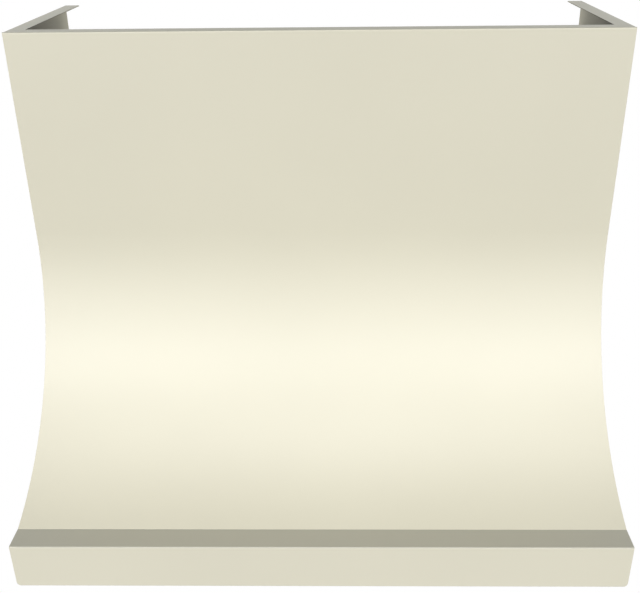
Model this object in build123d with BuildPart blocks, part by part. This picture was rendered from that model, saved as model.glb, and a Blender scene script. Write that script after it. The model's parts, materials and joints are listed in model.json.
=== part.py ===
from build123d import *
from math import asin, atan2, cos, hypot, radians, sin, sqrt
import os

os.makedirs("parts", exist_ok=True)

# Millimetres. x runs across, y = 0 is the wall and the front faces -y.
# Heights are measured from the bottom rim, and each piece is saved with the
# middle of the lower wall rail at the origin.

# shell
hood_width = 914.4
hood_height = 762.0
hood_depth = 609.6
top_depth = 304.8
band_height = 76.2
ledge_depth = 38.1
sweep_top = 444.5
shell_sheet = 1.5
return_flange = 25.4
fold_radius = 1.8
rim_radius = 8.0
weld_tab = 12.0
apron_screw_spread = 300.0
screw_front_inset = 40.0
screw_rear_inset = 60.0

# wall fixing
cleat_below_top = 162.0
cleat_length = 640.0
cleat_sheet = 2.0
cleat_web = 46.0
cleat_step = 8.0
cleat_lip = 18.0
cleat_bend = 3.0
cleat_lip_bend = 2.0
stud_spacing = 406.4
cleat_hole_rows = 20.0
cleat_hole_edge = 12.0
wall_hole_radius = 3.5
hook_play = 1.5
hook_drop = 16.0
hook_bend = 1.0
rail_drop = 28.0
rail_flange = 20.0
bracket_leg = 26.0
rear_rail_height = 76.2

# liner
liner_sheet = 1.0
liner_rise = 14.0
lip_rise = 126.0
lip_width = 30.0
strip_end_height = 60.0
rear_wall_gap = 1.6
deck_height = 232.0
canopy_gap = 14.0
skirt_step = 1.5
skirt_overlap = 22.0
deck_hole_margin = 12.0
strip_bend = 2.0
foot_bend = 1.0
canopy_bend = 2.5
foot_gap = 1.0
hole_play = 1.0

# filters
pivot_depth = 125.0
pivot_height = 46.0
pivot_radius = 4.0
pivot_end = 4.0
running_gap = 0.05
filter_thickness = 14.0
filter_lift = 5.0
filter_overhang = 14.0
filter_swing_gap = 2.4
filter_side_gap = 2.0
frame_bar = 16.0
frame_sheet = 1.0
baffle_count = 6
baffle_gap = 14.0
baffle_lap = 8.0
baffle_sheet = 0.8
baffle_play = 0.3
baffle_flange = 7.0
hook_wall = 1.6
hook_length = 14.0
hook_inset = 60.0
pull_radius = 7.0
pull_length = 16.0
pull_chamfer = 2.0
magnet_size = (24.0, 10.0, 4.0)
magnet_offset = 90.0
magnet_inset = 2.0

# grease tray
tray_depth = 84.0
tray_height = 25.0
tray_floor = 5.5
tray_end_gap = 2.5
tray_ledge = 20.0
tray_wall_gap = 6.0
tray_corner = 8.0
tray_fillet = 4.0
tray_bracket_rise = 18.0
tray_bracket_inset = 6.0

# lamps and controls
lamp_spread = 290.0
lamp_radius = 30.0
bezel_radius = 37.0
lens_radius = 26.6
bezel_drop = 3.0
bezel_chamfer = 2.0
lens_thickness = 2.0
lens_play = 0.4
lens_lip = 1.6
lamp_height = 24.0
fin_pitch = 8.0
fin_thickness = 2.0
strip_line = 68.6
plate_size = (200.0, 56.0, 2.0)
plate_corner = 6.0
knob_spread = 55.0
knob_radius = 18.0
knob_height = 9.0
knob_gap = 0.6
knob_chamfer = 1.5
flute_count = 18
flute_radius = 1.4
pointer_width = 2.0
pointer_depth = 0.8
shaft_radius = 3.0
switch_size = (30.0, 28.0, 24.0)
dimmer_size = (26.0, 26.0, 20.0)
switch_corner = 2.0
shaft_grip = 10.0
shaft_end_gap = 0.5

# blower
blower_sheet = 1.0
box_width = 302.0
box_height = 285.0
box_rear = 28.0
box_front_gap = 3.0
box_flange = 15.0
box_screw_step = 90.0
lid_skirt = 12.0
lid_play = 0.3
wheel_radius = 70.0
wheel_width = 140.0
blade_count = 32
blade_inner = 58.0
blade_sheet = 1.2
blade_curve = 14.0
blade_turn = 55.0
wheel_disc = 2.0
wheel_rim = 4.0
wheel_rim_depth = 5.0
wheel_gap = 7.0
scroll_step = 14.0
scroll_side_gap = 6.0
scroll_flange = 5.0
nose_radius = 8.0
scroll_floor_gap = 16.0
inlet_radius = 56.0
inlet_lip = 8.0
motor_radius = 44.0
motor_length = 78.0
motor_shaft_radius = 4.0
hub_radius = 12.0
hub_length = 10.0
hub_gap = 5.0
hub_tail = 10.0
shaft_end = 8.0
shaft_tip = 2.0
motor_fillet = 5.0
bush_outer = 9.6
bush_seat = 10.0
bush_depth = 6.0
cheek_flange = 12.0
cheek_flange_gap = 10.0
isolator_length = 3.0
isolator_radius = 6.0
bracket_sheet = 3.0
bracket_arm = 14.0
bracket_foot = 16.0
bracket_hub_inset = 8.0
arm_clearance = 12.0

# duct
collar_radius = 74.5
collar_sheet = 1.0
collar_height = 64.0
collar_depth = 112.0
collar_base = (166.0, 156.0)
collar_screw_inset = 9.0
gasket_thickness = 2.0
damper_height = 18.0
damper_rod_radius = 2.0
damper_play = 1.5
damper_sheet = 0.8
knuckle_wall = 1.2
knuckle_count = 4
knuckle_gap = 0.8
stop_width = 5.0
stop_thickness = 2.0
stop_gap = 0.3
rod_end_gap = 0.3

# electrics
junction_size = (100.0, 80.0, 50.0)
junction_gap = 12.0
junction_depth = 160.0
cover_tab = 12.0
bush_radius = 11.0
bush_play = 0.3
bush_flange = 3.0
bush_head = 4.0
bush_tail = 6.0
cable_radius = 5.0
terminal_size = (60.0, 18.0, 16.0)
terminal_offset = 18.0
terminal_pitch = 11.0
terminal_slot = (8.0, 7.0)
capacitor_radius = 18.0
capacitor_height = 68.0
capacitor_gap = 8.0
capacitor_depth = 235.0
capacitor_fillet = 2.0
clamp_height = 14.0
clamp_foot = (18.0, 14.0)
motor_lead_radius = 3.2
lead_radius = 2.4
lead_gap = 0.8
lead_bend = 8.0
clip_wall = 1.6
clip_length = 6.0

# fasteners
screw_radius = 2.0
screw_play = 0.05
screw_head = 4.0
screw_head_height = 2.8
screw_washer = 4.6
screw_washer_height = 0.8

half_width = hood_width / 2
inner_half = half_width - shell_sheet
sweep_run = hood_depth - ledge_depth - top_depth
sweep_drop = sweep_top - band_height
sweep_radius = (sweep_run**2 + sweep_drop**2) / (2 * sweep_run)
liner_half = half_width - return_flange
strip_front = hood_depth - return_flange - liner_sheet
rear_wall = return_flange + rear_wall_gap
wall_datum = rear_rail_height / 2
capacitor_x = box_width / 2 + box_flange + capacitor_gap + capacitor_radius
capacitor_place = (capacitor_x, -capacitor_depth)
junction_x = capacitor_x + capacitor_radius + clamp_foot[0] + junction_gap + junction_size[0] / 2
junction_y = -junction_depth
junction_place = (junction_x, junction_y)


def save(piece, name):
    placed = piece.part.moved(Location((0, 0, -wall_datum)))
    placed.label = name
    export_step(placed, f"parts/{name}.step")


def bent_sheet(plane, points, bends, thickness, side):
    with BuildSketch(plane) as profile:
        with BuildLine():
            FilletPolyline(*points, radius=bends)
            offset(amount=thickness, side=side)
        make_face()
    return profile.sketch


def sweep_depth(height, inset):
    """Depth of the front skin from the wall at a height, a given way inside its outer face."""
    if height >= sweep_top:
        return top_depth - inset
    reach = sqrt((sweep_radius + inset) ** 2 - (sweep_top - height) ** 2)
    return top_depth + sweep_radius - reach


skirt_top = lip_rise + skirt_step
skirt_depth = sweep_depth(skirt_top, shell_sheet + canopy_gap)
strip_rear = skirt_depth - 2 * liner_sheet
deck_front = sweep_depth(deck_height, shell_sheet + canopy_gap)
filter_top = filter_lift + filter_thickness
lip_above = filter_top + magnet_size[2]
lip_reach = hypot(strip_rear - pivot_depth, lip_rise - pivot_height)
lip_along = sqrt(lip_reach**2 - lip_above**2)
filter_slope = atan2(lip_rise - pivot_height, strip_rear - pivot_depth) - asin(lip_above / lip_reach)
slope_cos = cos(filter_slope)
slope_sin = sin(filter_slope)


def on_slope(along, above):
    """Point in the side view, measured along and above the filters' pivot line."""
    return (
        -pivot_depth - along * slope_cos + above * slope_sin,
        pivot_height + along * slope_sin + above * slope_cos,
    )


# shell

with BuildPart() as front_panel:
    with BuildSketch(Plane.YZ):
        with BuildLine():
            flange_inner = return_flange - top_depth
            flange_line = Line((flange_inner, hood_height), (fold_radius - top_depth, hood_height))
            fold = JernArc(flange_line @ 1, (-1, 0), fold_radius, 90)
            flat_line = Line(fold @ 1, (-top_depth, sweep_top))
            RadiusArc(flat_line @ 1, (ledge_depth - hood_depth, band_height), sweep_radius)
            offset(amount=shell_sheet, side=Side.LEFT)
        make_face()
    extrude(amount=half_width, both=True)
    split(bisect_by=Plane.XY.offset(band_height), keep=Keep.TOP)
    with BuildSketch(Plane.XY.offset(hood_height - fold_radius)):
        mitre = return_flange - shell_sheet
        with BuildLine():
            Polyline(
                (half_width, shell_sheet - top_depth),
                (half_width - mitre, return_flange - top_depth),
                (half_width, return_flange - top_depth),
                close=True,
            )
        make_face()
        mirror(about=Plane.YZ)
    extrude(amount=fold_radius, mode=Mode.SUBTRACT)
save(front_panel, "front_panel")

screw_front = hood_depth - return_flange - screw_front_inset
screw_depths = [screw_front, hood_depth / 2, return_flange + screw_rear_inset]
side_screw_x = half_width - return_flange / 2
front_screw_y = return_flange / 2 - hood_depth
front_screw_places = [(step * apron_screw_spread, front_screw_y) for step in (-1, 0, 1)]
side_screw_places = [(side_screw_x, -depth) for depth in screw_depths]

with BuildPart() as front_apron:
    apron_points = [
        (ledge_depth + weld_tab - hood_depth, band_height),
        (-hood_depth, band_height),
        (-hood_depth, 0),
        (return_flange - hood_depth, 0),
    ]
    extrude(
        bent_sheet(Plane.YZ, apron_points, fold_radius, shell_sheet, Side.LEFT),
        amount=half_width,
        both=True,
    )
    with BuildSketch(Plane.XZ.offset(hood_depth - return_flange - 1)):
        for side in (-1, 1):
            with Locations((side * (half_width - rim_radius / 2 + 0.5), rim_radius / 2 - 0.5)):
                Rectangle(rim_radius + 1, rim_radius + 1)
            with Locations((side * (half_width - rim_radius), rim_radius)):
                Circle(rim_radius, mode=Mode.SUBTRACT)
    extrude(amount=return_flange + 2, mode=Mode.SUBTRACT)
    tab_cut_x = half_width - shell_sheet / 2
    tab_cut_y = ledge_depth + weld_tab / 2 - hood_depth
    with BuildSketch(Plane.XY.offset(band_height - shell_sheet)):
        for side in (-1, 1):
            with Locations((side * tab_cut_x, tab_cut_y)):
                Rectangle(shell_sheet, weld_tab)
    extrude(amount=shell_sheet, mode=Mode.SUBTRACT)
    corner_cut_y = (return_flange + fold_radius) / 2 - hood_depth
    with BuildSketch(Plane.XY):
        for side in (-1, 1):
            with Locations((side * (half_width - return_flange / 2), corner_cut_y)):
                Rectangle(return_flange, return_flange - fold_radius)
    extrude(amount=rim_radius, mode=Mode.SUBTRACT)
    with BuildSketch(Plane.XY):
        with Locations(*front_screw_places):
            Circle(screw_radius + screw_play)
    extrude(amount=shell_sheet, mode=Mode.SUBTRACT)
save(front_apron, "front_apron")

with BuildPart() as right_side_panel:
    side_points = [
        (half_width - return_flange, hood_height),
        (half_width, hood_height),
        (half_width, 0),
        (half_width - return_flange, 0),
    ]
    extrude(
        bent_sheet(Plane.XZ, side_points, [fold_radius, rim_radius], shell_sheet, Side.RIGHT),
        amount=hood_depth - shell_sheet,
    )
    with BuildSketch(Plane.YZ.offset(half_width - return_flange)):
        with BuildLine():
            back_edge = Polyline((fold_radius - hood_depth, 0), (0, 0), (0, hood_height))
            top_edge = Line(back_edge @ 1, (shell_sheet - top_depth, hood_height))
            flat_edge = Line(top_edge @ 1, (shell_sheet - top_depth, sweep_top))
            skin_end = (-sweep_depth(band_height, shell_sheet), band_height)
            RadiusArc(flat_edge @ 1, skin_end, sweep_radius + shell_sheet)
            under_ledge = Polyline(
                skin_end,
                (ledge_depth - hood_depth, band_height),
                (ledge_depth - hood_depth, band_height - shell_sheet),
                (fold_radius - hood_depth, band_height - shell_sheet),
            )
            nose = JernArc(under_ledge @ 1, (-1, 0), fold_radius - shell_sheet, 90)
            face_edge = Line(nose @ 1, (shell_sheet - hood_depth, fold_radius))
            rim_edge = JernArc(face_edge @ 1, (0, -1), fold_radius - shell_sheet, 90)
            Line(rim_edge @ 1, (fold_radius - hood_depth, 0))
        make_face()
    extrude(amount=return_flange, mode=Mode.INTERSECT)
    with BuildSketch(Plane.XY.offset(hood_height - shell_sheet)):
        with BuildLine():
            Polyline(
                (half_width, shell_sheet - top_depth),
                (half_width - mitre, return_flange - top_depth),
                (half_width - return_flange, return_flange - top_depth),
                (half_width - return_flange, shell_sheet - top_depth),
                close=True,
            )
        make_face()
    extrude(amount=shell_sheet, mode=Mode.SUBTRACT)
    with BuildSketch(Plane.XY):
        with Locations(*side_screw_places):
            Circle(screw_radius + screw_play)
    extrude(amount=shell_sheet, mode=Mode.SUBTRACT)
save(right_side_panel, "right_side_panel")

with BuildPart() as left_side_panel:
    mirror(right_side_panel.part, about=Plane.YZ)
save(left_side_panel, "left_side_panel")

# wall fixing

cleat_bottom = hood_height - cleat_below_top
cleat_top = cleat_bottom + cleat_web + cleat_step + cleat_lip
hook_face = cleat_step - hook_play
web_face = cleat_step + cleat_sheet + hook_play
rail_bottom = cleat_top - rail_drop

with BuildPart() as wall_cleat:
    cleat_points = [
        (0, cleat_bottom),
        (0, cleat_bottom + cleat_web),
        (-cleat_step, cleat_bottom + cleat_web + cleat_step),
        (-cleat_step, cleat_top),
    ]
    extrude(
        bent_sheet(Plane.YZ, cleat_points, [cleat_bend, cleat_lip_bend], cleat_sheet, Side.LEFT),
        amount=cleat_length / 2,
        both=True,
    )
    hole_middle = cleat_bottom + cleat_hole_edge + cleat_hole_rows / 2
    with BuildSketch(Plane.XZ):
        with Locations((0, hole_middle)):
            with GridLocations(stud_spacing, cleat_hole_rows, 2, 2):
                Circle(wall_hole_radius)
    extrude(amount=cleat_sheet, mode=Mode.SUBTRACT)
save(wall_cleat, "wall_cleat")

with BuildPart() as hanging_rail:
    rail_points = [
        (-hook_face, cleat_top - hook_drop),
        (-hook_face, cleat_top),
        (-web_face, cleat_top),
        (-web_face, rail_bottom),
        (-web_face - rail_flange, rail_bottom),
    ]
    extrude(
        bent_sheet(Plane.YZ, rail_points, [hook_bend, hook_bend, fold_radius], shell_sheet, Side.RIGHT),
        amount=inner_half,
        both=True,
    )
save(hanging_rail, "hanging_rail")

with BuildPart() as rail_end_brackets:
    bracket_front = web_face + shell_sheet
    with BuildSketch(Plane.XY.offset(rail_bottom + 2 * shell_sheet)):
        with BuildLine():
            Polyline(
                (inner_half, -bracket_front),
                (inner_half, -bracket_front - bracket_leg),
                (inner_half - shell_sheet, -bracket_front - bracket_leg),
                (inner_half - shell_sheet, -bracket_front - shell_sheet),
                (inner_half - bracket_leg, -bracket_front - shell_sheet),
                (inner_half - bracket_leg, -bracket_front),
                close=True,
            )
        make_face()
        mirror(about=Plane.YZ)
    extrude(amount=rail_drop - 4 * shell_sheet)
save(rail_end_brackets, "rail_end_brackets")

with BuildPart() as lower_rear_rail:
    rear_points = [
        (-return_flange, 0),
        (0, 0),
        (0, rear_rail_height),
        (-return_flange, rear_rail_height),
    ]
    extrude(
        bent_sheet(Plane.YZ, rear_points, fold_radius, shell_sheet, Side.LEFT),
        amount=inner_half,
        both=True,
    )
    with BuildSketch(Plane.XY):
        for side in (-1, 1):
            with Locations((side * (half_width - return_flange / 2), -return_flange / 2)):
                Rectangle(return_flange, return_flange)
    extrude(amount=fold_radius, mode=Mode.SUBTRACT)
    with BuildSketch(Plane.XY):
        for side in (-1, 1):
            with Locations((side * (half_width - rim_radius / 2), -return_flange / 2)):
                Rectangle(rim_radius, return_flange)
    extrude(amount=rim_radius, mode=Mode.SUBTRACT)
    with BuildSketch(Plane.XZ.offset(0)):
        with Locations((0, rear_rail_height / 2)):
            with GridLocations(stud_spacing, 1, 2, 1):
                Circle(wall_hole_radius)
    extrude(amount=shell_sheet, mode=Mode.SUBTRACT)
save(lower_rear_rail, "lower_rear_rail")

# liner

filter_front = strip_rear - pivot_depth - filter_swing_gap
lip_start = on_slope(lip_along, lip_above)
lip_end = on_slope(lip_along - lip_width, lip_above)
control_y = liner_sheet + strip_line - strip_front
lamp_places = [(side * lamp_spread, control_y) for side in (-1, 1)]
knob_places = [(side * knob_spread, control_y) for side in (-1, 1)]

with BuildPart() as front_strip:
    strip_points = [
        (rim_radius + foot_gap - hood_depth, shell_sheet),
        (-strip_front, shell_sheet),
        (-strip_front, liner_rise),
        (-strip_rear, liner_rise),
        lip_start,
        lip_end,
    ]
    strip_bends = [strip_bend, foot_bend, strip_bend, foot_bend]
    extrude(
        bent_sheet(Plane.YZ, strip_points, strip_bends, liner_sheet, Side.LEFT),
        amount=liner_half,
        both=True,
    )
    with BuildSketch(Plane.XY.offset(liner_rise)):
        with Locations(*lamp_places):
            Circle(lamp_radius + hole_play)
        with Locations(*knob_places):
            Circle(shaft_radius + hole_play)
    extrude(amount=liner_sheet, mode=Mode.SUBTRACT)
    with BuildSketch(Plane.XY.offset(shell_sheet)):
        with Locations(*front_screw_places):
            Circle(screw_radius + screw_play)
    extrude(amount=liner_sheet, mode=Mode.SUBTRACT)
save(front_strip, "front_strip")

first_radius = wheel_radius + wheel_gap + scroll_step / 2
second_radius = first_radius + scroll_step
third_radius = second_radius + scroll_step
wheel_depth = collar_depth + (nose_radius + third_radius) / 2
box_front = wheel_depth + scroll_step / 2 + first_radius + scroll_flange + box_front_gap
box_middle = -(box_front + box_rear) / 2
box_depth = box_front - box_rear
box_screw_x = (box_width + box_flange) / 2
box_screw_rows = [box_middle - box_screw_step, box_middle + box_screw_step]
box_screw_places = [(side * box_screw_x, row) for side in (-1, 1) for row in box_screw_rows]
clamp_screw_place = (capacitor_place[0] + capacitor_radius + clamp_foot[0] * 0.6, capacitor_place[1])
deck_screw_places = box_screw_places + [clamp_screw_place]
canopy_points = [
    (-skirt_depth, skirt_top - skirt_overlap),
    (-skirt_depth, skirt_top),
    (-deck_front, deck_height),
    (-rear_wall, deck_height),
    (-rear_wall, shell_sheet + liner_sheet),
    (-2 * shell_sheet, shell_sheet + liner_sheet),
]

with BuildPart() as canopy_wrap:
    canopy_bends = [canopy_bend, canopy_bend, canopy_bend, foot_bend]
    extrude(
        bent_sheet(Plane.YZ, canopy_points, canopy_bends, liner_sheet, Side.RIGHT),
        amount=liner_half,
        both=True,
    )
    with BuildSketch(Plane.XY.offset(deck_height - liner_sheet)):
        with Locations((0, box_middle)):
            Rectangle(box_width - 2 * deck_hole_margin, box_depth - 2 * deck_hole_margin)
        with Locations(*deck_screw_places):
            Circle(screw_radius + screw_play)
    extrude(amount=liner_sheet, mode=Mode.SUBTRACT)
save(canopy_wrap, "canopy_wrap")

with BuildPart() as right_end:
    with BuildSketch(Plane.YZ.offset(liner_half)):
        with BuildLine():
            Polyline(
                (-rear_wall, shell_sheet),
                (-rear_wall, deck_height),
                (-deck_front, deck_height),
                (-skirt_depth, skirt_top),
                (-skirt_depth, strip_end_height),
                (-strip_front - liner_sheet, strip_end_height),
                (-strip_front - liner_sheet, shell_sheet),
                close=True,
            )
        make_face()
        with Locations((-pivot_depth, pivot_height)):
            Circle(pivot_radius + running_gap, mode=Mode.SUBTRACT)
    extrude(amount=liner_sheet)
    with BuildSketch(Plane.XY.offset(shell_sheet)):
        foot_width = half_width - rim_radius - foot_gap - liner_half
        with Locations((liner_half + foot_width / 2, -(strip_front + rear_wall) / 2)):
            Rectangle(foot_width, strip_front - rear_wall)
        with Locations(*side_screw_places):
            Circle(screw_radius + screw_play, mode=Mode.SUBTRACT)
    extrude(amount=liner_sheet)
save(right_end, "right_end")

with BuildPart() as left_end:
    mirror(right_end.part, about=Plane.YZ)
save(left_end, "left_end")

with BuildPart() as filter_pivot_rod:
    with BuildSketch(Plane.YZ):
        with Locations((-pivot_depth, pivot_height)):
            Circle(pivot_radius)
    extrude(amount=liner_half + pivot_end, both=True)
save(filter_pivot_rod, "filter_pivot_rod")

liner_screw_places = front_screw_places + side_screw_places + [(-x, y) for x, y in side_screw_places]


def screws(places, plane, grip):
    """Hex washer-head screws seated on the plane, their shanks going back by the grip."""
    with BuildPart() as group:
        with BuildSketch(plane):
            with Locations(*places):
                Circle(screw_washer)
        extrude(amount=screw_washer_height)
        with BuildSketch(plane):
            with Locations(*places):
                RegularPolygon(screw_head, 6)
        extrude(amount=screw_head_height)
        with BuildSketch(plane):
            with Locations(*places):
                Circle(screw_radius)
        extrude(amount=-grip)
    return group


# filters

filter_pivot = (0, -pivot_depth, pivot_height)
filter_plane = Plane(origin=filter_pivot, x_dir=(1, 0, 0), z_dir=(0, slope_sin, slope_cos))
filter_pitch = (2 * liner_half - filter_side_gap) / 3
filter_width = filter_pitch - filter_side_gap
filter_length = filter_front + filter_overhang
filter_middle = (filter_overhang - filter_front) / 2
filter_names = {"left": -filter_pitch, "centre": 0.0, "right": filter_pitch}
baffle_pitch = (filter_width - 2 * frame_bar) / baffle_count
baffle_width = baffle_pitch - baffle_gap
cap_width = baffle_gap + 2 * baffle_lap


def filter_frame(centre):
    with BuildPart() as frame:
        with BuildSketch(filter_plane.offset(filter_lift)):
            with Locations((centre, filter_middle)):
                Rectangle(filter_width, filter_length)
                Rectangle(filter_width - 2 * frame_bar, filter_length - 2 * frame_bar, mode=Mode.SUBTRACT)
        extrude(amount=filter_thickness)
        with BuildSketch(filter_plane.offset(filter_lift + frame_sheet)):
            with Locations((centre, filter_middle)):
                Rectangle(filter_width - 2 * frame_sheet, filter_length - 2 * frame_sheet)
        extrude(amount=filter_thickness - 2 * frame_sheet, mode=Mode.SUBTRACT)
        hook_outer = pivot_radius + running_gap + hook_wall
        for side in (-1, 1):
            hook_start = centre + side * (filter_width / 2 - hook_inset) - hook_length / 2
            hook_origin = filter_plane.from_local_coords((hook_start, 0, 0))
            hook_side = Plane(origin=hook_origin, x_dir=filter_plane.y_dir, z_dir=(1, 0, 0))
            with BuildSketch(hook_side):
                Circle(hook_outer)
                with Locations((0, filter_lift / 2 + hook_wall / 2)):
                    Rectangle(2 * hook_outer, filter_lift + hook_wall - 2 * hook_wall + 1)
                Circle(pivot_radius + running_gap, mode=Mode.SUBTRACT)
                with Locations((0, -hook_outer / 2 - 1)):
                    Rectangle(2 * (pivot_radius + running_gap), hook_outer + 2, mode=Mode.SUBTRACT)
            extrude(amount=hook_length)
    return frame


def channel(plane, centre, width, base, flange, up):
    """One folded baffle: a strip with both edges turned over."""
    low = base if up else base - flange
    high = base + flange if up else base
    skin = base + baffle_sheet if up else base - baffle_sheet
    near = min(base, skin)
    with BuildPart() as slat:
        with BuildSketch(plane):
            with Locations((centre, (near + max(base, skin)) / 2)):
                Rectangle(width, baffle_sheet)
            for side in (-1, 1):
                with Locations((centre + side * (width - baffle_sheet) / 2, (low + high) / 2)):
                    Rectangle(baffle_sheet, flange)
        extrude(amount=filter_length - 2 * frame_sheet - 2 * baffle_play)
    return slat


def filter_baffles(centre):
    start = filter_plane.from_local_coords((0, filter_overhang - frame_sheet - baffle_play, 0))
    plane = Plane(origin=start, x_dir=(1, 0, 0), z_dir=-filter_plane.y_dir)
    low = filter_lift + frame_sheet
    high = low + filter_thickness - 2 * frame_sheet
    with BuildPart() as row:
        for number in range(baffle_count):
            place = centre + (number - (baffle_count - 1) / 2) * baffle_pitch
            add(channel(plane, place, baffle_width, low, baffle_flange, True).part)
        for number in range(baffle_count - 1):
            place = centre + (number - (baffle_count - 2) / 2) * baffle_pitch
            add(channel(plane, place, cap_width, high, baffle_flange, False).part)
    return row


def filter_pull(centre):
    pull_plane = Plane(
        origin=filter_plane.from_local_coords((centre, frame_bar / 2 - filter_front, filter_lift)),
        x_dir=(1, 0, 0),
        z_dir=-filter_plane.z_dir,
    )
    with BuildPart() as pull:
        with BuildSketch(Plane(origin=pull_plane.origin, x_dir=(1, 0, 0), z_dir=pull_plane.y_dir)):
            with BuildLine():
                stem = pull_radius * 0.45
                neck = pull_length * 0.45
                Polyline(
                    (0, 0),
                    (stem, 0),
                    (stem, -neck),
                    (pull_radius, -neck - pull_chamfer),
                    (pull_radius, pull_chamfer - pull_length),
                    (pull_radius - pull_chamfer, -pull_length),
                    (0, -pull_length),
                    close=True,
                )
            make_face()
        revolve(axis=Axis(pull_plane.origin, pull_plane.z_dir))
    return pull


for name, centre in filter_names.items():
    save(filter_frame(centre), f"filter_frame_{name}")
    save(filter_baffles(centre), f"filter_baffles_{name}")
    save(filter_pull(centre), f"filter_pull_{name}")

magnet_y = magnet_size[1] / 2 + magnet_inset - filter_front

with BuildPart() as filter_magnets:
    with BuildSketch(filter_plane.offset(filter_top)):
        for centre in filter_names.values():
            for side in (-1, 1):
                with Locations((centre + side * magnet_offset, magnet_y)):
                    Rectangle(magnet_size[0], magnet_size[1])
    extrude(amount=magnet_size[2])
save(filter_magnets, "filter_magnets")

# grease tray

tray_rear = rear_wall + liner_sheet + tray_wall_gap
tray_half = liner_half - tray_end_gap
tray_middle = -tray_rear - tray_depth / 2

with BuildPart() as grease_tray:
    with BuildSketch(Plane.XY.offset(tray_floor)):
        with Locations((0, tray_middle)):
            RectangleRounded(2 * tray_half, tray_depth, tray_corner)
    extrude(amount=tray_height)
    bottom_edges = grease_tray.faces().sort_by(Axis.Z)[0].edges()
    fillet(bottom_edges, radius=tray_fillet)
    offset(amount=-liner_sheet, openings=grease_tray.faces().sort_by(Axis.Z)[-1])
save(grease_tray, "grease_tray")

with BuildPart() as tray_brackets:
    with BuildSketch(Plane.XZ.offset(tray_rear + tray_bracket_inset)):
        with BuildLine():
            Polyline(
                (liner_half, tray_floor - liner_sheet),
                (liner_half, tray_floor + tray_bracket_rise),
                (liner_half - liner_sheet, tray_floor + tray_bracket_rise),
                (liner_half - liner_sheet, tray_floor),
                (liner_half - tray_ledge, tray_floor),
                (liner_half - tray_ledge, tray_floor - liner_sheet),
                close=True,
            )
        make_face()
        mirror(about=Plane.YZ)
    extrude(amount=tray_depth - 2 * tray_bracket_inset)
save(tray_brackets, "tray_brackets")

# lamps

with BuildPart() as lamp_bezels:
    with BuildSketch(Plane.XY.offset(liner_rise - bezel_drop)):
        with Locations(*lamp_places):
            Circle(bezel_radius)
    extrude(amount=bezel_drop)
    chamfer(lamp_bezels.faces().sort_by(Axis.Z)[:2].edges(), length=bezel_chamfer)
    with BuildSketch(Plane.XY.offset(liner_rise - bezel_drop)):
        with Locations(*lamp_places):
            Circle(lens_radius - lens_lip)
    extrude(amount=bezel_drop, mode=Mode.SUBTRACT)
    with BuildSketch(Plane.XY.offset(liner_rise - lens_thickness)):
        with Locations(*lamp_places):
            Circle(lens_radius + lens_play)
    extrude(amount=lens_thickness, mode=Mode.SUBTRACT)
save(lamp_bezels, "lamp_bezels")

with BuildPart() as lamp_lenses:
    with BuildSketch(Plane.XY.offset(liner_rise - lens_thickness)):
        with Locations(*lamp_places):
            Circle(lens_radius)
    extrude(amount=lens_thickness)
save(lamp_lenses, "lamp_lenses")

with BuildPart() as lamp_bodies:
    with BuildSketch(Plane.XY.offset(liner_rise)):
        with Locations(*lamp_places):
            Circle(lamp_radius)
    extrude(amount=lamp_height / 3)
    with BuildSketch(Plane.XY.offset(liner_rise + lamp_height / 3)):
        with Locations(*lamp_places):
            with GridLocations(fin_pitch, 1, 6, 1):
                Rectangle(fin_thickness, lamp_radius * 1.2)
    extrude(amount=lamp_height * 2 / 3)
save(lamp_bodies, "lamp_bodies")

# controls

plate_bottom = liner_rise - plate_size[2]
knob_top = plate_bottom - knob_gap
knob_bottom = knob_top - knob_height
switch_bottom = liner_rise + liner_sheet
shaft_top = switch_bottom + shaft_grip

with BuildPart() as control_plate:
    with BuildSketch(Plane.XY.offset(plate_bottom)):
        with Locations((0, control_y)):
            RectangleRounded(plate_size[0], plate_size[1], plate_corner)
        with Locations(*knob_places):
            Circle(shaft_radius + hole_play, mode=Mode.SUBTRACT)
    extrude(amount=plate_size[2])
save(control_plate, "control_plate")


def control_knob(place):
    with BuildPart() as knob:
        with BuildSketch(Plane.XY.offset(knob_top)):
            with Locations(place):
                Circle(knob_radius)
        extrude(amount=-knob_height)
        rim = knob.faces().sort_by(Axis.Z)[0].edges()
        chamfer(rim, length=knob_chamfer)
        with BuildSketch(Plane.XY.offset(knob_bottom)):
            with Locations(place):
                with PolarLocations(knob_radius + flute_radius / 2, flute_count, 180 / flute_count):
                    Circle(flute_radius)
        extrude(amount=knob_height - 2 * knob_chamfer, mode=Mode.SUBTRACT)
        with BuildSketch(Plane.XY.offset(knob_bottom)):
            with Locations((place[0], place[1] - knob_radius * 0.55)):
                SlotOverall(knob_radius * 0.7, pointer_width, rotation=90)
        extrude(amount=pointer_depth, mode=Mode.SUBTRACT)
        with BuildSketch(Plane.XY.offset(knob_top)):
            with Locations(place):
                Circle(shaft_radius + running_gap)
        extrude(amount=-knob_height * 0.7, mode=Mode.SUBTRACT)
    return knob


def control_shaft(place):
    with BuildPart() as shaft:
        with BuildSketch(Plane.XY.offset(knob_top - knob_height * 0.7)):
            with Locations(place):
                Circle(shaft_radius)
        extrude(amount=shaft_top - knob_top + knob_height * 0.7)
    return shaft


def switch_body(place, size):
    with BuildPart() as body:
        with BuildSketch(Plane.XY.offset(switch_bottom)):
            with Locations(place):
                RectangleRounded(size[0], size[1], switch_corner)
        extrude(amount=size[2])
        with BuildSketch(Plane.XY.offset(switch_bottom)):
            with Locations(place):
                Circle(shaft_radius + running_gap)
        extrude(amount=shaft_top - switch_bottom + shaft_end_gap, mode=Mode.SUBTRACT)
    return body


for name, place in zip(("fan", "light"), knob_places):
    save(control_knob(place), f"{name}_knob")
    save(control_shaft(place), f"{name}_shaft")
save(switch_body(knob_places[0], switch_size), "fan_switch")
save(switch_body(knob_places[1], dimmer_size), "light_dimmer")

# blower box

box_top = deck_height + box_height

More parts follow.
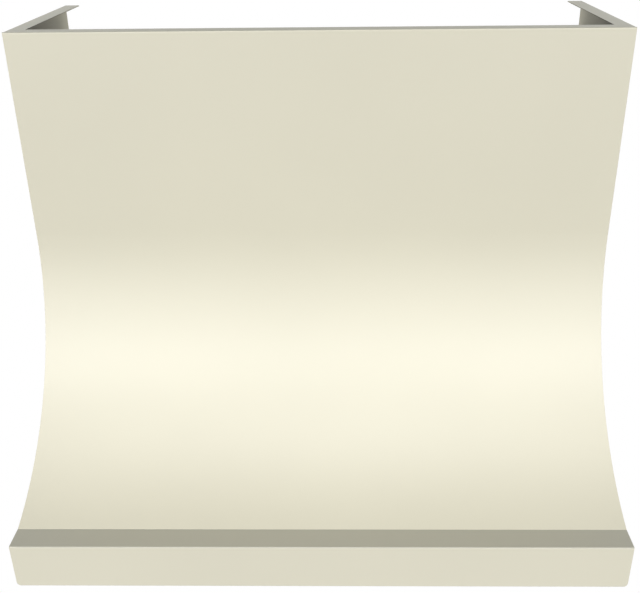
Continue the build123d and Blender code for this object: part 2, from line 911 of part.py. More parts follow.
with BuildPart() as blower_box:
    with BuildSketch(Plane.XY.offset(deck_height)):
        with Locations((0, box_middle)):
            Rectangle(box_width, box_depth)
            Rectangle(box_width - 2 * blower_sheet, box_depth - 2 * blower_sheet, mode=Mode.SUBTRACT)
    extrude(amount=box_height)
    with BuildSketch(Plane.XY.offset(deck_height)):
        for side in (-1, 1):
            with Locations((side * (box_width / 2 + box_flange / 2), box_middle)):
                Rectangle(box_flange, box_depth)
        with Locations(*box_screw_places):
            Circle(screw_radius + screw_play, mode=Mode.SUBTRACT)
    extrude(amount=blower_sheet)
save(blower_box, "blower_box")

collar_screw_x = collar_base[0] / 2 - collar_screw_inset
collar_screw_y = collar_base[1] / 2 - collar_screw_inset
collar_screw_places = [
    (x * collar_screw_x, y * collar_screw_y - collar_depth) for x in (-1, 1) for y in (-1, 1)
]
lid_top = box_top + blower_sheet
lid_width = box_width + 2 * lid_play
lid_depth = box_depth + 2 * lid_play

with BuildPart() as box_lid:
    with BuildSketch(Plane.XY.offset(box_top)):
        with Locations((0, box_middle)):
            Rectangle(lid_width + 2 * blower_sheet, lid_depth + 2 * blower_sheet)
        with Locations((0, -collar_depth)):
            Circle(collar_radius - 2 * collar_sheet, mode=Mode.SUBTRACT)
        with Locations(*collar_screw_places):
            Circle(screw_radius + screw_play, mode=Mode.SUBTRACT)
    extrude(amount=blower_sheet)
    with BuildSketch(Plane.XY.offset(box_top)):
        with Locations((0, box_middle)):
            Rectangle(lid_width + 2 * blower_sheet, lid_depth + 2 * blower_sheet)
            Rectangle(lid_width, lid_depth, mode=Mode.SUBTRACT)
    extrude(amount=-lid_skirt)
save(box_lid, "box_lid")

# scroll

scroll_half = wheel_width / 2 + scroll_side_gap
wheel_height = deck_height + scroll_floor_gap + scroll_flange + second_radius + scroll_step / 2
wheel_centre = (-wheel_depth, wheel_height)


def scroll_face(plane, grow, top):
    half = scroll_step / 2
    low_front = (wheel_centre[0] - half, wheel_centre[1] - half)
    low_rear = (wheel_centre[0] + half, wheel_centre[1] - half)
    high_rear = (wheel_centre[0] + half, wheel_centre[1] + half)
    nose_centre = (low_front[0], low_front[1] + first_radius + nose_radius)
    with BuildSketch(plane) as face:
        with BuildLine():
            wall_place = nose_centre[0] + nose_radius - grow
            front_wall = Line((wall_place, top), (wall_place, nose_centre[1]))
            CenterArc(nose_centre, nose_radius - grow, 0, -90)
            CenterArc(low_front, first_radius + grow, 90, 90)
            CenterArc(low_rear, second_radius + grow, 180, 90)
            end = CenterArc(high_rear, third_radius + grow, 270, 90)
            rear_line = Line(end @ 1, ((end @ 1).X, top))
            Line(rear_line @ 1, front_wall @ 0)
        make_face()
    return face.sketch


with BuildPart() as scroll_wrap:
    extrude(scroll_face(Plane.YZ, blower_sheet, box_top), amount=scroll_half, both=True)
    extrude(scroll_face(Plane.YZ, 0, box_top), amount=scroll_half, both=True, mode=Mode.SUBTRACT)
save(scroll_wrap, "scroll_wrap")

arm_angles = (90, 210, 330)
bracket_reach = wheel_radius + arm_clearance
isolator_reach = bracket_reach + bracket_foot / 2
isolator_places = []
for angle in arm_angles:
    along_y = isolator_reach * cos(radians(angle))
    along_z = isolator_reach * sin(radians(angle))
    isolator_places.append((wheel_centre[0] + along_y, wheel_centre[1] + along_z))


def scroll_cheek(side):
    plane = Plane(origin=(side * scroll_half, 0, 0), x_dir=(0, 1, 0), z_dir=(1, 0, 0))
    outward = side * blower_sheet
    with BuildPart() as cheek:
        extrude(scroll_face(plane, scroll_flange, box_top), amount=outward)
        with BuildSketch(plane):
            with Locations(wheel_centre):
                Circle(inlet_radius)
        extrude(amount=outward, mode=Mode.SUBTRACT)
        with BuildSketch(Plane.XY.offset(wheel_height)):
            with BuildLine():
                inner = -wheel_depth + inlet_radius
                face = side * (scroll_half + blower_sheet)
                tip = side * (scroll_half + blower_sheet + inlet_lip)
                Polyline(
                    (face, inner + inlet_lip),
                    (face, inner),
                    (face - outward, inner),
                    (face - outward, inner + inlet_lip),
                    close=True,
                )
            make_face()
            with BuildLine():
                Line((face, inner), (face, inner + blower_sheet))
                bell_one = ThreePointArc(
                    (face, inner + blower_sheet),
                    (face + (tip - face) * 0.62, inner + blower_sheet + inlet_lip * 0.25),
                    (tip - outward, inner + blower_sheet + inlet_lip * 0.8),
                )
                Line(bell_one @ 1, (tip, inner + inlet_lip * 0.8))
                ThreePointArc(
                    (tip, inner + inlet_lip * 0.8),
                    (face + (tip - face) * 0.7, inner + inlet_lip * 0.18),
                    (face, inner),
                )
            make_face()
        revolve(axis=Axis((0, -wheel_depth, wheel_height), (1, 0, 0)))
        flange_depth = third_radius + nose_radius - cheek_flange_gap
        with BuildSketch(Plane.XY.offset(box_top - blower_sheet)):
            with Locations((side * (scroll_half + blower_sheet + cheek_flange / 2), -collar_depth)):
                Rectangle(cheek_flange, flange_depth)
        extrude(amount=blower_sheet)
        if side < 0:
            with BuildSketch(plane):
                with Locations(*isolator_places):
                    Circle(screw_radius + screw_play)
            extrude(amount=outward, mode=Mode.SUBTRACT)
    return cheek


save(scroll_cheek(-1), "left_cheek")
save(scroll_cheek(1), "right_cheek")

# impeller

with BuildSketch() as blade:
    with BuildLine():
        JernArc((blade_inner, 0), (1, 0), blade_curve, blade_turn)
        offset(amount=blade_sheet, side=Side.LEFT)
    make_face()

with BuildPart() as impeller:
    with BuildSketch(Plane.YZ.offset(-wheel_width / 2)):
        with Locations(wheel_centre):
            with PolarLocations(0, blade_count):
                add(blade.sketch)
    extrude(amount=wheel_width)
    with BuildSketch(Plane.YZ.offset(-wheel_disc / 2)):
        with Locations(wheel_centre):
            Circle(wheel_radius)
    extrude(amount=wheel_disc)
    for start in (-wheel_width / 2, wheel_width / 2 - wheel_rim):
        with BuildSketch(Plane.YZ.offset(start)):
            with Locations(wheel_centre):
                Circle(wheel_radius)
                Circle(wheel_radius - wheel_rim_depth, mode=Mode.SUBTRACT)
        extrude(amount=wheel_rim)
    with BuildSketch(Plane.YZ.offset(-hub_length / 2)):
        with Locations(wheel_centre):
            Circle(hub_radius)
    extrude(amount=hub_length + hub_tail)
    with BuildSketch(Plane.YZ.offset(-hub_length / 2)):
        with Locations(wheel_centre):
            Circle(motor_shaft_radius + running_gap)
    extrude(amount=hub_length + hub_tail, mode=Mode.SUBTRACT)
save(impeller, "impeller")

motor_face = -hub_length / 2 - hub_gap

with BuildPart() as motor_shaft:
    with BuildSketch(Plane.YZ.offset(motor_face - motor_length + shaft_end)):
        with Locations(wheel_centre):
            Circle(motor_shaft_radius)
    extrude(amount=motor_length - shaft_end + hub_gap + hub_length + hub_tail + shaft_tip)
save(motor_shaft, "motor_shaft")

with BuildPart() as motor:
    with BuildSketch(Plane.YZ.offset(motor_face - motor_length)):
        with Locations(wheel_centre):
            Circle(motor_radius)
    extrude(amount=motor_length)
    end_edges = motor.edges().filter_by(GeomType.CIRCLE)
    fillet(end_edges, radius=motor_fillet)
    with BuildSketch(Plane.YZ.offset(motor_face)):
        with Locations(wheel_centre):
            Circle(bush_seat)
    extrude(amount=-bush_depth, mode=Mode.SUBTRACT)
    with BuildSketch(Plane.YZ.offset(motor_face)):
        with Locations(wheel_centre):
            Circle(motor_shaft_radius + hole_play)
    extrude(amount=shaft_end - hole_play - motor_length, mode=Mode.SUBTRACT)
save(motor, "motor")

with BuildPart() as motor_bush:
    with BuildSketch(Plane.YZ.offset(motor_face)):
        with Locations(wheel_centre):
            Circle(bush_outer)
            Circle(motor_shaft_radius + running_gap, mode=Mode.SUBTRACT)
    extrude(amount=-bush_depth)
save(motor_bush, "motor_bush")

motor_back = motor_face - motor_length
cheek_face = -(scroll_half + blower_sheet)
leg_end = cheek_face - isolator_length

with BuildPart() as motor_bracket:
    with BuildSketch(Plane.YZ.offset(motor_back)):
        with Locations(wheel_centre):
            Circle(motor_radius - bracket_hub_inset)
            for angle in arm_angles:
                with Locations(Rotation(0, 0, angle)):
                    with Locations((bracket_reach / 2, 0)):
                        Rectangle(bracket_reach, bracket_arm)
    extrude(amount=-bracket_sheet)
    with BuildSketch(Plane.YZ.offset(motor_back - bracket_sheet)):
        with Locations(wheel_centre):
            for angle in arm_angles:
                with Locations(Rotation(0, 0, angle)):
                    with Locations((bracket_reach + bracket_sheet / 2, 0)):
                        Rectangle(bracket_sheet, bracket_arm)
    extrude(amount=leg_end - motor_back + bracket_sheet)
    with BuildSketch(Plane.YZ.offset(leg_end)):
        with Locations(wheel_centre):
            for angle in arm_angles:
                with Locations(Rotation(0, 0, angle)):
                    with Locations((isolator_reach, 0)):
                        Rectangle(bracket_foot, bracket_arm)
    extrude(amount=-bracket_sheet)
    with BuildSketch(Plane.YZ.offset(leg_end)):
        with Locations(*isolator_places):
            Circle(screw_radius + screw_play)
    extrude(amount=-bracket_sheet, mode=Mode.SUBTRACT)
save(motor_bracket, "motor_bracket")

with BuildPart() as motor_isolators:
    with BuildSketch(Plane.YZ.offset(cheek_face)):
        with Locations(*isolator_places):
            Circle(isolator_radius)
            Circle(screw_radius + screw_play, mode=Mode.SUBTRACT)
    extrude(amount=-isolator_length)
save(motor_isolators, "motor_isolators")

# duct collar

gasket_bottom = lid_top
base_bottom = gasket_bottom + gasket_thickness
base_top = base_bottom + collar_sheet
damper_z = base_top + damper_height
knuckle_radius = damper_rod_radius + running_gap + knuckle_wall
collar_inner = collar_radius - collar_sheet
flap_radius = collar_inner - damper_play

with BuildPart() as collar_gasket:
    with BuildSketch(Plane.XY.offset(gasket_bottom)):
        with Locations((0, -collar_depth)):
            Rectangle(*collar_base)
            Circle(collar_inner, mode=Mode.SUBTRACT)
        with Locations(*collar_screw_places):
            Circle(screw_radius + screw_play, mode=Mode.SUBTRACT)
    extrude(amount=gasket_thickness)
save(collar_gasket, "collar_gasket")

with BuildPart() as duct_collar:
    with BuildSketch(Plane.XY.offset(base_bottom)):
        with Locations((0, -collar_depth)):
            Rectangle(*collar_base)
        with Locations(*collar_screw_places):
            Circle(screw_radius + screw_play, mode=Mode.SUBTRACT)
    extrude(amount=collar_sheet)
    with BuildSketch(Plane.XY.offset(base_bottom)):
        with Locations((0, -collar_depth)):
            Circle(collar_radius)
    extrude(amount=collar_sheet + collar_height)
    with BuildSketch(Plane.XY.offset(base_bottom)):
        with Locations((0, -collar_depth)):
            Circle(collar_inner)
    extrude(amount=collar_sheet + collar_height, mode=Mode.SUBTRACT)
    with BuildSketch(Plane.XY.offset(damper_z - damper_sheet / 2 - stop_gap - stop_thickness)):
        with Locations((0, -collar_depth)):
            Circle(collar_inner)
            Circle(collar_inner - stop_width, mode=Mode.SUBTRACT)
    extrude(amount=stop_thickness)
    with BuildSketch(Plane.XZ.offset(collar_depth - collar_radius)):
        with Locations((0, damper_z)):
            Circle(damper_rod_radius + running_gap)
    extrude(amount=2 * collar_radius, mode=Mode.SUBTRACT)
save(duct_collar, "duct_collar")

with BuildPart() as damper_rod:
    with BuildSketch(Plane.XZ.offset(collar_depth - collar_radius + rod_end_gap)):
        with Locations((0, damper_z)):
            Circle(damper_rod_radius)
    extrude(amount=2 * collar_radius - 2 * rod_end_gap)
save(damper_rod, "damper_rod")

knuckle_span = 2 * flap_radius * 0.9
knuckle_length = knuckle_span / knuckle_count


def damper_flap(side, first):
    with BuildPart() as flap:
        with BuildSketch(Plane.XY.offset(damper_z - damper_sheet / 2)):
            with Locations((0, -collar_depth)):
                Circle(flap_radius)
                with Locations((-side * flap_radius, 0)):
                    Rectangle(2 * flap_radius, 2 * flap_radius, mode=Mode.SUBTRACT)
                Rectangle(2 * knuckle_radius + knuckle_gap, 2 * flap_radius, mode=Mode.SUBTRACT)
                for number in range(first, knuckle_count, 2):
                    middle = (number + 0.5) * knuckle_length - knuckle_span / 2
                    with Locations((side * knuckle_radius, middle)):
                        Rectangle(2 * knuckle_radius, knuckle_length - knuckle_gap)
        extrude(amount=damper_sheet)
        for number in range(first, knuckle_count, 2):
            start = collar_depth + knuckle_span / 2 - (number + 1) * knuckle_length + knuckle_gap / 2
            with BuildSketch(Plane.XZ.offset(start)):
                with Locations((0, damper_z)):
                    Circle(knuckle_radius)
            extrude(amount=knuckle_length - knuckle_gap)
        with BuildSketch(Plane.XZ.offset(collar_depth - collar_radius)):
            with Locations((0, damper_z)):
                Circle(damper_rod_radius + running_gap)
        extrude(amount=2 * collar_radius, mode=Mode.SUBTRACT)
    return flap


save(damper_flap(-1, 0), "damper_flap_left")
save(damper_flap(1, 1), "damper_flap_right")

# electrics

junction_top = deck_height + junction_size[2]
cover_screw_x = (junction_size[0] - cover_tab) / 2
cover_screw_y = (junction_size[1] - cover_tab) / 2
cover_screw_places = [
    (junction_x + side * cover_screw_x, junction_y + side * cover_screw_y) for side in (-1, 1)
]
bush_plane = Plane(origin=(junction_x, junction_y, junction_top + blower_sheet))

with BuildPart() as junction_box:
    with BuildSketch(Plane.XY.offset(deck_height)):
        with Locations(junction_place):
            Rectangle(junction_size[0], junction_size[1])
    extrude(amount=junction_size[2])
    with BuildSketch(Plane.XY.offset(deck_height + blower_sheet)):
        with Locations(junction_place):
            Rectangle(junction_size[0] - 2 * blower_sheet, junction_size[1] - 2 * blower_sheet)
    extrude(amount=junction_size[2], mode=Mode.SUBTRACT)
    with BuildSketch(Plane.XY.offset(junction_top - blower_sheet)):
        with Locations(*cover_screw_places):
            Rectangle(cover_tab, cover_tab)
            Circle(screw_radius + screw_play, mode=Mode.SUBTRACT)
    extrude(amount=blower_sheet)
save(junction_box, "junction_box")

with BuildPart() as junction_cover:
    with BuildSketch(Plane.XY.offset(junction_top)):
        with Locations(junction_place):
            Rectangle(junction_size[0], junction_size[1])
            Circle(bush_radius, mode=Mode.SUBTRACT)
        with Locations(*cover_screw_places):
            Circle(screw_radius + screw_play, mode=Mode.SUBTRACT)
    extrude(amount=blower_sheet)
save(junction_cover, "junction_cover")

with BuildPart() as cable_bush:
    with BuildSketch(bush_plane):
        Circle(bush_radius + bush_flange)
    extrude(amount=bush_head)
    with BuildSketch(bush_plane):
        Circle(bush_radius - bush_play)
    extrude(amount=-blower_sheet - bush_tail)
    with BuildSketch(bush_plane.offset(bush_head)):
        Circle(cable_radius)
    extrude(amount=-bush_head - blower_sheet - bush_tail, mode=Mode.SUBTRACT)
save(cable_bush, "cable_bush")

with BuildPart() as terminal_block:
    with BuildSketch(Plane.XY.offset(deck_height + blower_sheet)):
        with Locations((junction_x, junction_y + terminal_offset)):
            Rectangle(terminal_size[0], terminal_size[1])
    extrude(amount=terminal_size[2])
    with BuildSketch(Plane.XY.offset(deck_height + blower_sheet + terminal_size[2])):
        with Locations((junction_x, junction_y + terminal_offset)):
            with GridLocations(terminal_pitch, 1, 5, 1):
                Rectangle(terminal_slot[0], terminal_size[1])
    extrude(amount=-terminal_slot[1], mode=Mode.SUBTRACT)
save(terminal_block, "terminal_block")

with BuildPart() as capacitor:
    with BuildSketch(Plane.XY.offset(deck_height)):
        with Locations(capacitor_place):
            Circle(capacitor_radius)
    extrude(amount=capacitor_height)
    can_top = capacitor.faces().sort_by(Axis.Z)[-1].edges()
    fillet(can_top, radius=capacitor_fillet)
save(capacitor, "capacitor")

with BuildPart() as capacitor_clamp:
    with BuildSketch(Plane.XY.offset(deck_height)):
        with Locations(capacitor_place):
            Circle(capacitor_radius + running_gap + blower_sheet)
    extrude(amount=clamp_height)
    with BuildSketch(Plane.XY.offset(deck_height)):
        with Locations((capacitor_place[0] + capacitor_radius + clamp_foot[0] / 2, capacitor_place[1])):
            Rectangle(clamp_foot[0], clamp_foot[1])
        with Locations(clamp_screw_place):
            Circle(screw_radius + screw_play, mode=Mode.SUBTRACT)
    extrude(amount=blower_sheet)
    with BuildSketch(Plane.XY.offset(deck_height)):
        with Locations(capacitor_place):
            Circle(capacitor_radius + running_gap)
    extrude(amount=clamp_height, mode=Mode.SUBTRACT)
save(capacitor_clamp, "capacitor_clamp")

# leads inside the hood: junction box to the controls over the front of the canopy, controls to the lamps

lead_rise = lead_radius + lead_gap
canopy_run = skirt_depth - deck_front
canopy_fall = deck_height - skirt_top
canopy_length = hypot(canopy_run, canopy_fall)
lean_front = canopy_fall / canopy_length
lean_up = canopy_run / canopy_length
lead_x = junction_x - junction_size[0] / 4
cross_y = -(box_front + deck_front) / 2
deck_line = deck_height + lead_rise
strip_top = liner_rise + liner_sheet
strip_line_height = strip_top + lead_rise
deck_turn = -deck_front - lead_rise * lean_front / (1 + lean_up)
skirt_turn = -skirt_depth - lead_rise
skirt_turn_height = skirt_top + lead_rise * lean_up / (1 + lean_front)

with BuildPart() as inner_leads:
    with BuildLine() as control_route:
        FilletPolyline(
            (lead_x, junction_y - junction_size[1] / 2, deck_line),
            (lead_x, cross_y, deck_line),
            (knob_spread, cross_y, deck_line),
            (knob_spread, deck_turn, deck_line),
            (knob_spread, skirt_turn, skirt_turn_height),
            (knob_spread, skirt_turn, strip_line_height),
            (knob_spread, control_y + dimmer_size[1] / 2, strip_line_height),
            radius=lead_bend,
        )
    with BuildSketch(Plane(origin=control_route.line @ 0, z_dir=control_route.line % 0)):
        Circle(lead_radius)
    sweep()
    lead_spans = [
        (knob_spread + dimmer_size[0] / 2, lamp_spread - lamp_radius),
        (switch_size[0] / 2 - knob_spread, knob_spread - dimmer_size[0] / 2),
        (lamp_radius - lamp_spread, -knob_spread - switch_size[0] / 2),
    ]
    for begin, finish in lead_spans:
        with BuildSketch(Plane.YZ.offset(begin)):
            with Locations((control_y, strip_line_height)):
                Circle(lead_radius)
        extrude(amount=finish - begin)
    with BuildSketch(Plane.YZ.offset(box_width / 2)):
        with Locations((junction_y, deck_height + junction_size[2] / 2)):
            Circle(motor_lead_radius)
    extrude(amount=junction_x - junction_size[0] / 2 - box_width / 2)
save(inner_leads, "inner_leads")


def lead_clip(foot, across, along):
    with BuildPart() as clip:
        with BuildSketch(Plane(origin=foot, x_dir=across, z_dir=along)):
            clip_rise = lead_rise + lead_radius + clip_wall
            with Locations((0, clip_rise / 2)):
                Rectangle(2 * (lead_radius + clip_wall), clip_rise)
            with Locations((0, lead_rise)):
                Circle(lead_radius + running_gap, mode=Mode.SUBTRACT)
        extrude(amount=clip_length)
    return clip


with BuildPart() as lead_clips:
    clip_share = 0.15
    slope_y = -deck_front - clip_share * canopy_run
    slope_z = deck_height - clip_share * canopy_fall
    lamp_clip_x = (lamp_spread - lamp_radius + knob_spread + dimmer_size[0] / 2) / 2
    add(lead_clip((lead_x, (junction_y + cross_y) / 2, deck_height), (1, 0, 0), (0, -1, 0)).part)
    add(lead_clip(((lead_x + knob_spread) / 2, cross_y, deck_height), (0, 1, 0), (1, 0, 0)).part)
    add(lead_clip((knob_spread, slope_y, slope_z), (1, 0, 0), (0, -lean_up, -lean_front)).part)
    add(lead_clip((lamp_clip_x, control_y, strip_top), (0, 1, 0), (1, 0, 0)).part)
    add(lead_clip((-lamp_clip_x, control_y, strip_top), (0, 1, 0), (1, 0, 0)).part)
save(lead_clips, "lead_clips")

# screws

bracket_plane = Plane(origin=(leg_end - bracket_sheet, 0, 0), x_dir=(0, 1, 0), z_dir=(-1, 0, 0))

with BuildPart() as sheet_screws:
    liner_grip = shell_sheet + liner_sheet
    add(screws(liner_screw_places, Plane.XY.offset(liner_grip), liner_grip).part)
    deck_grip = blower_sheet + liner_sheet
    add(screws(deck_screw_places, Plane.XY.offset(deck_height + blower_sheet), deck_grip).part)
    collar_grip = collar_sheet + gasket_thickness + blower_sheet
    add(screws(collar_screw_places, Plane.XY.offset(base_top), collar_grip).part)
    add(screws(cover_screw_places, Plane.XY.offset(junction_top + blower_sheet), 2 * blower_sheet).part)
    bracket_grip = bracket_sheet + isolator_length + blower_sheet
    add(screws([(y, -z) for y, z in isolator_places], bracket_plane, bracket_grip).part)
save(sheet_screws, "sheet_screws")
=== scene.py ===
import json
from math import cos, pi, radians, sin

import bmesh
import bpy
from mathutils import Matrix, Vector


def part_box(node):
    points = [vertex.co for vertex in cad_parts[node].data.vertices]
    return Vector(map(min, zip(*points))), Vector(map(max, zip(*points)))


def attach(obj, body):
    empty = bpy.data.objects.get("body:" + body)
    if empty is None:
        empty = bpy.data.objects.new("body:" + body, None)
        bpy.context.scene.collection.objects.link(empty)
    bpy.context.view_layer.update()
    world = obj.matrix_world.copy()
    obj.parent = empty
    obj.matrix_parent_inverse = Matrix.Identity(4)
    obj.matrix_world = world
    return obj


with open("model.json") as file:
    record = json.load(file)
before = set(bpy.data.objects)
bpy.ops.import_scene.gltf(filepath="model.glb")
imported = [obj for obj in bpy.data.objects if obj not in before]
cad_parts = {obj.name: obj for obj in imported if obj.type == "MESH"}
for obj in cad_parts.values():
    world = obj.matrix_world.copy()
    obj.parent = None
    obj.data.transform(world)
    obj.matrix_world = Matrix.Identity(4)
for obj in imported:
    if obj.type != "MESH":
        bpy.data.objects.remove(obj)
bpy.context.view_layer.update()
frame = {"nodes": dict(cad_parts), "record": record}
nodes = frame["nodes"]
print("frame loaded,", len(nodes), "nodes")

scene = bpy.context.scene
scene.view_settings.view_transform = "Standard"


# materials

def newFinish(name):
    finish = bpy.data.materials.new(name)
    finish.use_nodes = True
    tree = finish.node_tree
    tree.nodes.clear()
    output = tree.nodes.new("ShaderNodeOutputMaterial")
    shader = tree.nodes.new("ShaderNodeBsdfPrincipled")
    tree.links.new(shader.outputs["BSDF"], output.inputs["Surface"])
    return finish, tree, shader


def addNode(tree, kind, values=None, **settings):
    made = tree.nodes.new(kind)
    for key, value in settings.items():
        setattr(made, key, value)
    for key, value in (values or {}).items():
        made.inputs[key].default_value = value
    return made


def addMath(tree, operation, first, second):
    made = addNode(tree, "ShaderNodeMath", operation=operation)
    tree.links.new(first, made.inputs[0])
    tree.links.new(second, made.inputs[1])
    return made.outputs[0]


def placeOnObject(tree, scale=(1, 1, 1), lean=0.0):
    coords = addNode(tree, "ShaderNodeTexCoord")
    size = tuple(1 / v for v in scale)
    mapping = addNode(tree, "ShaderNodeMapping", {"Scale": size, "Rotation": (-lean, 0, 0)},
                      vector_type="TEXTURE")
    tree.links.new(coords.outputs["Object"], mapping.inputs["Vector"])
    return mapping.outputs["Vector"]


def grainNoise(tree, vector, scale, detail=2.0, rough=0.5):
    noise = addNode(tree, "ShaderNodeTexNoise", {"Scale": scale, "Detail": detail, "Roughness": rough})
    tree.links.new(vector, noise.inputs["Vector"])
    return noise.outputs["Fac"]


noiseSpan = (0.3, 0.7)  # where most of a noise's values lie


def toneRamp(tree, source, low, high, span=noiseSpan):
    ramp = addNode(tree, "ShaderNodeValToRGB")
    first, last = ramp.color_ramp.elements
    first.position, last.position = span
    first.color = (*low, 1)
    last.color = (*high, 1)
    tree.links.new(source, ramp.inputs["Fac"])
    return ramp.outputs["Color"]


def stretchRange(tree, source, low, high, span=noiseSpan):
    spread = addNode(tree, "ShaderNodeMapRange",
                     {"From Min": span[0], "From Max": span[1], "To Min": low, "To Max": high})
    tree.links.new(source, spread.inputs["Value"])
    return spread.outputs["Result"]


edgeWear = {"samples": 6, "span": (0.80, 0.995)}


def edgeMask(tree, radius):
    bevel = addNode(tree, "ShaderNodeBevel", {"Radius": radius}, samples=edgeWear["samples"])
    shape = addNode(tree, "ShaderNodeNewGeometry")
    dot = addNode(tree, "ShaderNodeVectorMath", operation="DOT_PRODUCT")
    tree.links.new(bevel.outputs["Normal"], dot.inputs[0])
    tree.links.new(shape.outputs["Normal"], dot.inputs[1])
    return stretchRange(tree, dot.outputs["Value"], 1, 0, edgeWear["span"]), bevel.outputs["Normal"]


def normalAndPlace(tree):
    shape = addNode(tree, "ShaderNodeNewGeometry")
    coords = addNode(tree, "ShaderNodeTexCoord")
    normal = addNode(tree, "ShaderNodeSeparateXYZ")
    place = addNode(tree, "ShaderNodeSeparateXYZ")
    tree.links.new(shape.outputs["Normal"], normal.inputs["Vector"])
    tree.links.new(coords.outputs["Object"], place.inputs["Vector"])
    return normal.outputs, place.outputs


def blendValue(tree, mask, first, second):
    mix = addNode(tree, "ShaderNodeMix", data_type="FLOAT")
    tree.links.new(mask, mix.inputs["Factor"])
    tree.links.new(first, mix.inputs["A"])
    mix.inputs["B"].default_value = second
    return mix.outputs["Result"]


def blendTone(tree, mask, first, second):
    mix = addNode(tree, "ShaderNodeMix", data_type="RGBA")
    tree.links.new(mask, mix.inputs["Factor"])
    tree.links.new(first, mix.inputs["A"])
    if isinstance(second, tuple):
        mix.inputs["B"].default_value = (*second, 1)
    else:
        tree.links.new(second, mix.inputs["B"])
    return mix.outputs["Result"]


def surfaceBump(tree, shader, height, strength, distance, normal=None):
    bump = addNode(tree, "ShaderNodeBump", {"Strength": strength, "Distance": distance})
    tree.links.new(height, bump.inputs["Height"])
    if normal is not None:
        tree.links.new(normal, bump.inputs["Normal"])
    tree.links.new(bump.outputs["Normal"], shader.inputs["Normal"])


def linearTone(*levels):  # from screen levels of 0 to 255
    shares = [level / 255 for level in levels]
    return tuple(v / 12.92 if v <= 0.04045 else ((v + 0.055) / 1.055) ** 2.4 for v in shares)


creamPaint = {"shift": 0.012, "toneScale": 3.5, "gloss": 0.9, "roughness": (0.41, 0.45), "satin": 380.0,
              "peel": 520.0, "peelStrength": 0.18, "peelHeight": 0.00010,
              "edge": 0.0004, "edgeTone": linearTone(223, 218, 200),
              "flatFacing": (0.975, 0.995), "foldFacing": (0.0, 0.8), "foldBlur": 0.0005}
# on each coat, the darker tone for the faces that lie flat and their folds is painted shade
creamCoats = {
    "cream_paint": {"name": "cream powder coat", "tone": linearTone(217, 213, 193),
                    "flatShade": linearTone(160, 158, 140), "foldFrom": 0.7226},
    # the apron's copy of the paint is lighter than the front panel's, painted light to brighten the band
    "creamApronLit": {"name": "cream powder coat, apron", "tone": linearTone(223, 219, 199),
                   "flatShade": linearTone(177, 175, 160), "foldFrom": 0.030},
}
# the inside tones below are painted shade of the hollow: darkest toward the front corners, a painted shadow,
# lighter toward the open back, and a lighter painted shade on the front panel's inner face
shellInside = {"shadeDeep": linearTone(70, 68, 58), "shadeOpen": linearTone(160, 157, 140),
               "shadeReach": (-0.31, -0.01), "roughness": 0.82,
               "frontShadeLow": linearTone(172, 168, 152), "frontShadeHigh": linearTone(192, 187, 170),
               "cloudScale": 6.0, "cloudRough": 0.62, "cloudSpan": (0.38, 0.68), "cloudShare": 0.3,
               "sideFacing": (-0.36, -0.30), "frontFacing": (0.20, 0.30)}


# mask of the painted shade on flat faces and their folds
def flatShadeMask(tree, foldFrom):  # faces that lie flat, and above foldFrom the folds beside them
    spec = creamPaint
    normal, place = normalAndPlace(tree)
    flat = stretchRange(tree, normal["Z"], 0, 1, spec["flatFacing"])
    tilted = stretchRange(tree, normal["Z"], 0, 1, spec["foldFacing"])
    above = stretchRange(tree, place["Z"], 0, 1, (foldFrom, foldFrom + spec["foldBlur"]))
    return addMath(tree, "MAXIMUM", flat, addMath(tree, "MULTIPLY", tilted, above))


def insideFaces(tree):  # the side panels' and the front panel's inner faces
    normal, place = normalAndPlace(tree)
    inward = addMath(tree, "MULTIPLY", normal["X"], place["X"])
    ofSides = stretchRange(tree, inward, 1, 0, shellInside["sideFacing"])
    ofFront = stretchRange(tree, normal["Y"], 0, 1, shellInside["frontFacing"])
    return addMath(tree, "MAXIMUM", ofSides, ofFront), ofFront, place["Y"]


# painted shade on the inside faces: a painted shadow darkest toward the front corners, lighter toward the
# open back, with random blotches, and a lighter painted shade on the front panel's inner face
def insideShadeTone(tree, vector, ofFront, depth):
    spec = shellInside
    cloud = grainNoise(tree, vector, spec["cloudScale"], 5.0, spec["cloudRough"])
    shadeDepth = addNode(tree, "ShaderNodeMath", {1: spec["cloudShare"]}, operation="MULTIPLY_ADD")
    half = spec["cloudShare"] / 2
    tree.links.new(cloud, shadeDepth.inputs[0])
    tree.links.new(stretchRange(tree, depth, -half, 1 - half, spec["shadeReach"]), shadeDepth.inputs[2])
    sideInsideShade = toneRamp(tree, shadeDepth.outputs[0], spec["shadeDeep"], spec["shadeOpen"], (0, 1))
    frontInsideShade = toneRamp(tree, cloud, spec["frontShadeLow"], spec["frontShadeHigh"], spec["cloudSpan"])
    return blendTone(tree, ofFront, sideInsideShade, frontInsideShade)


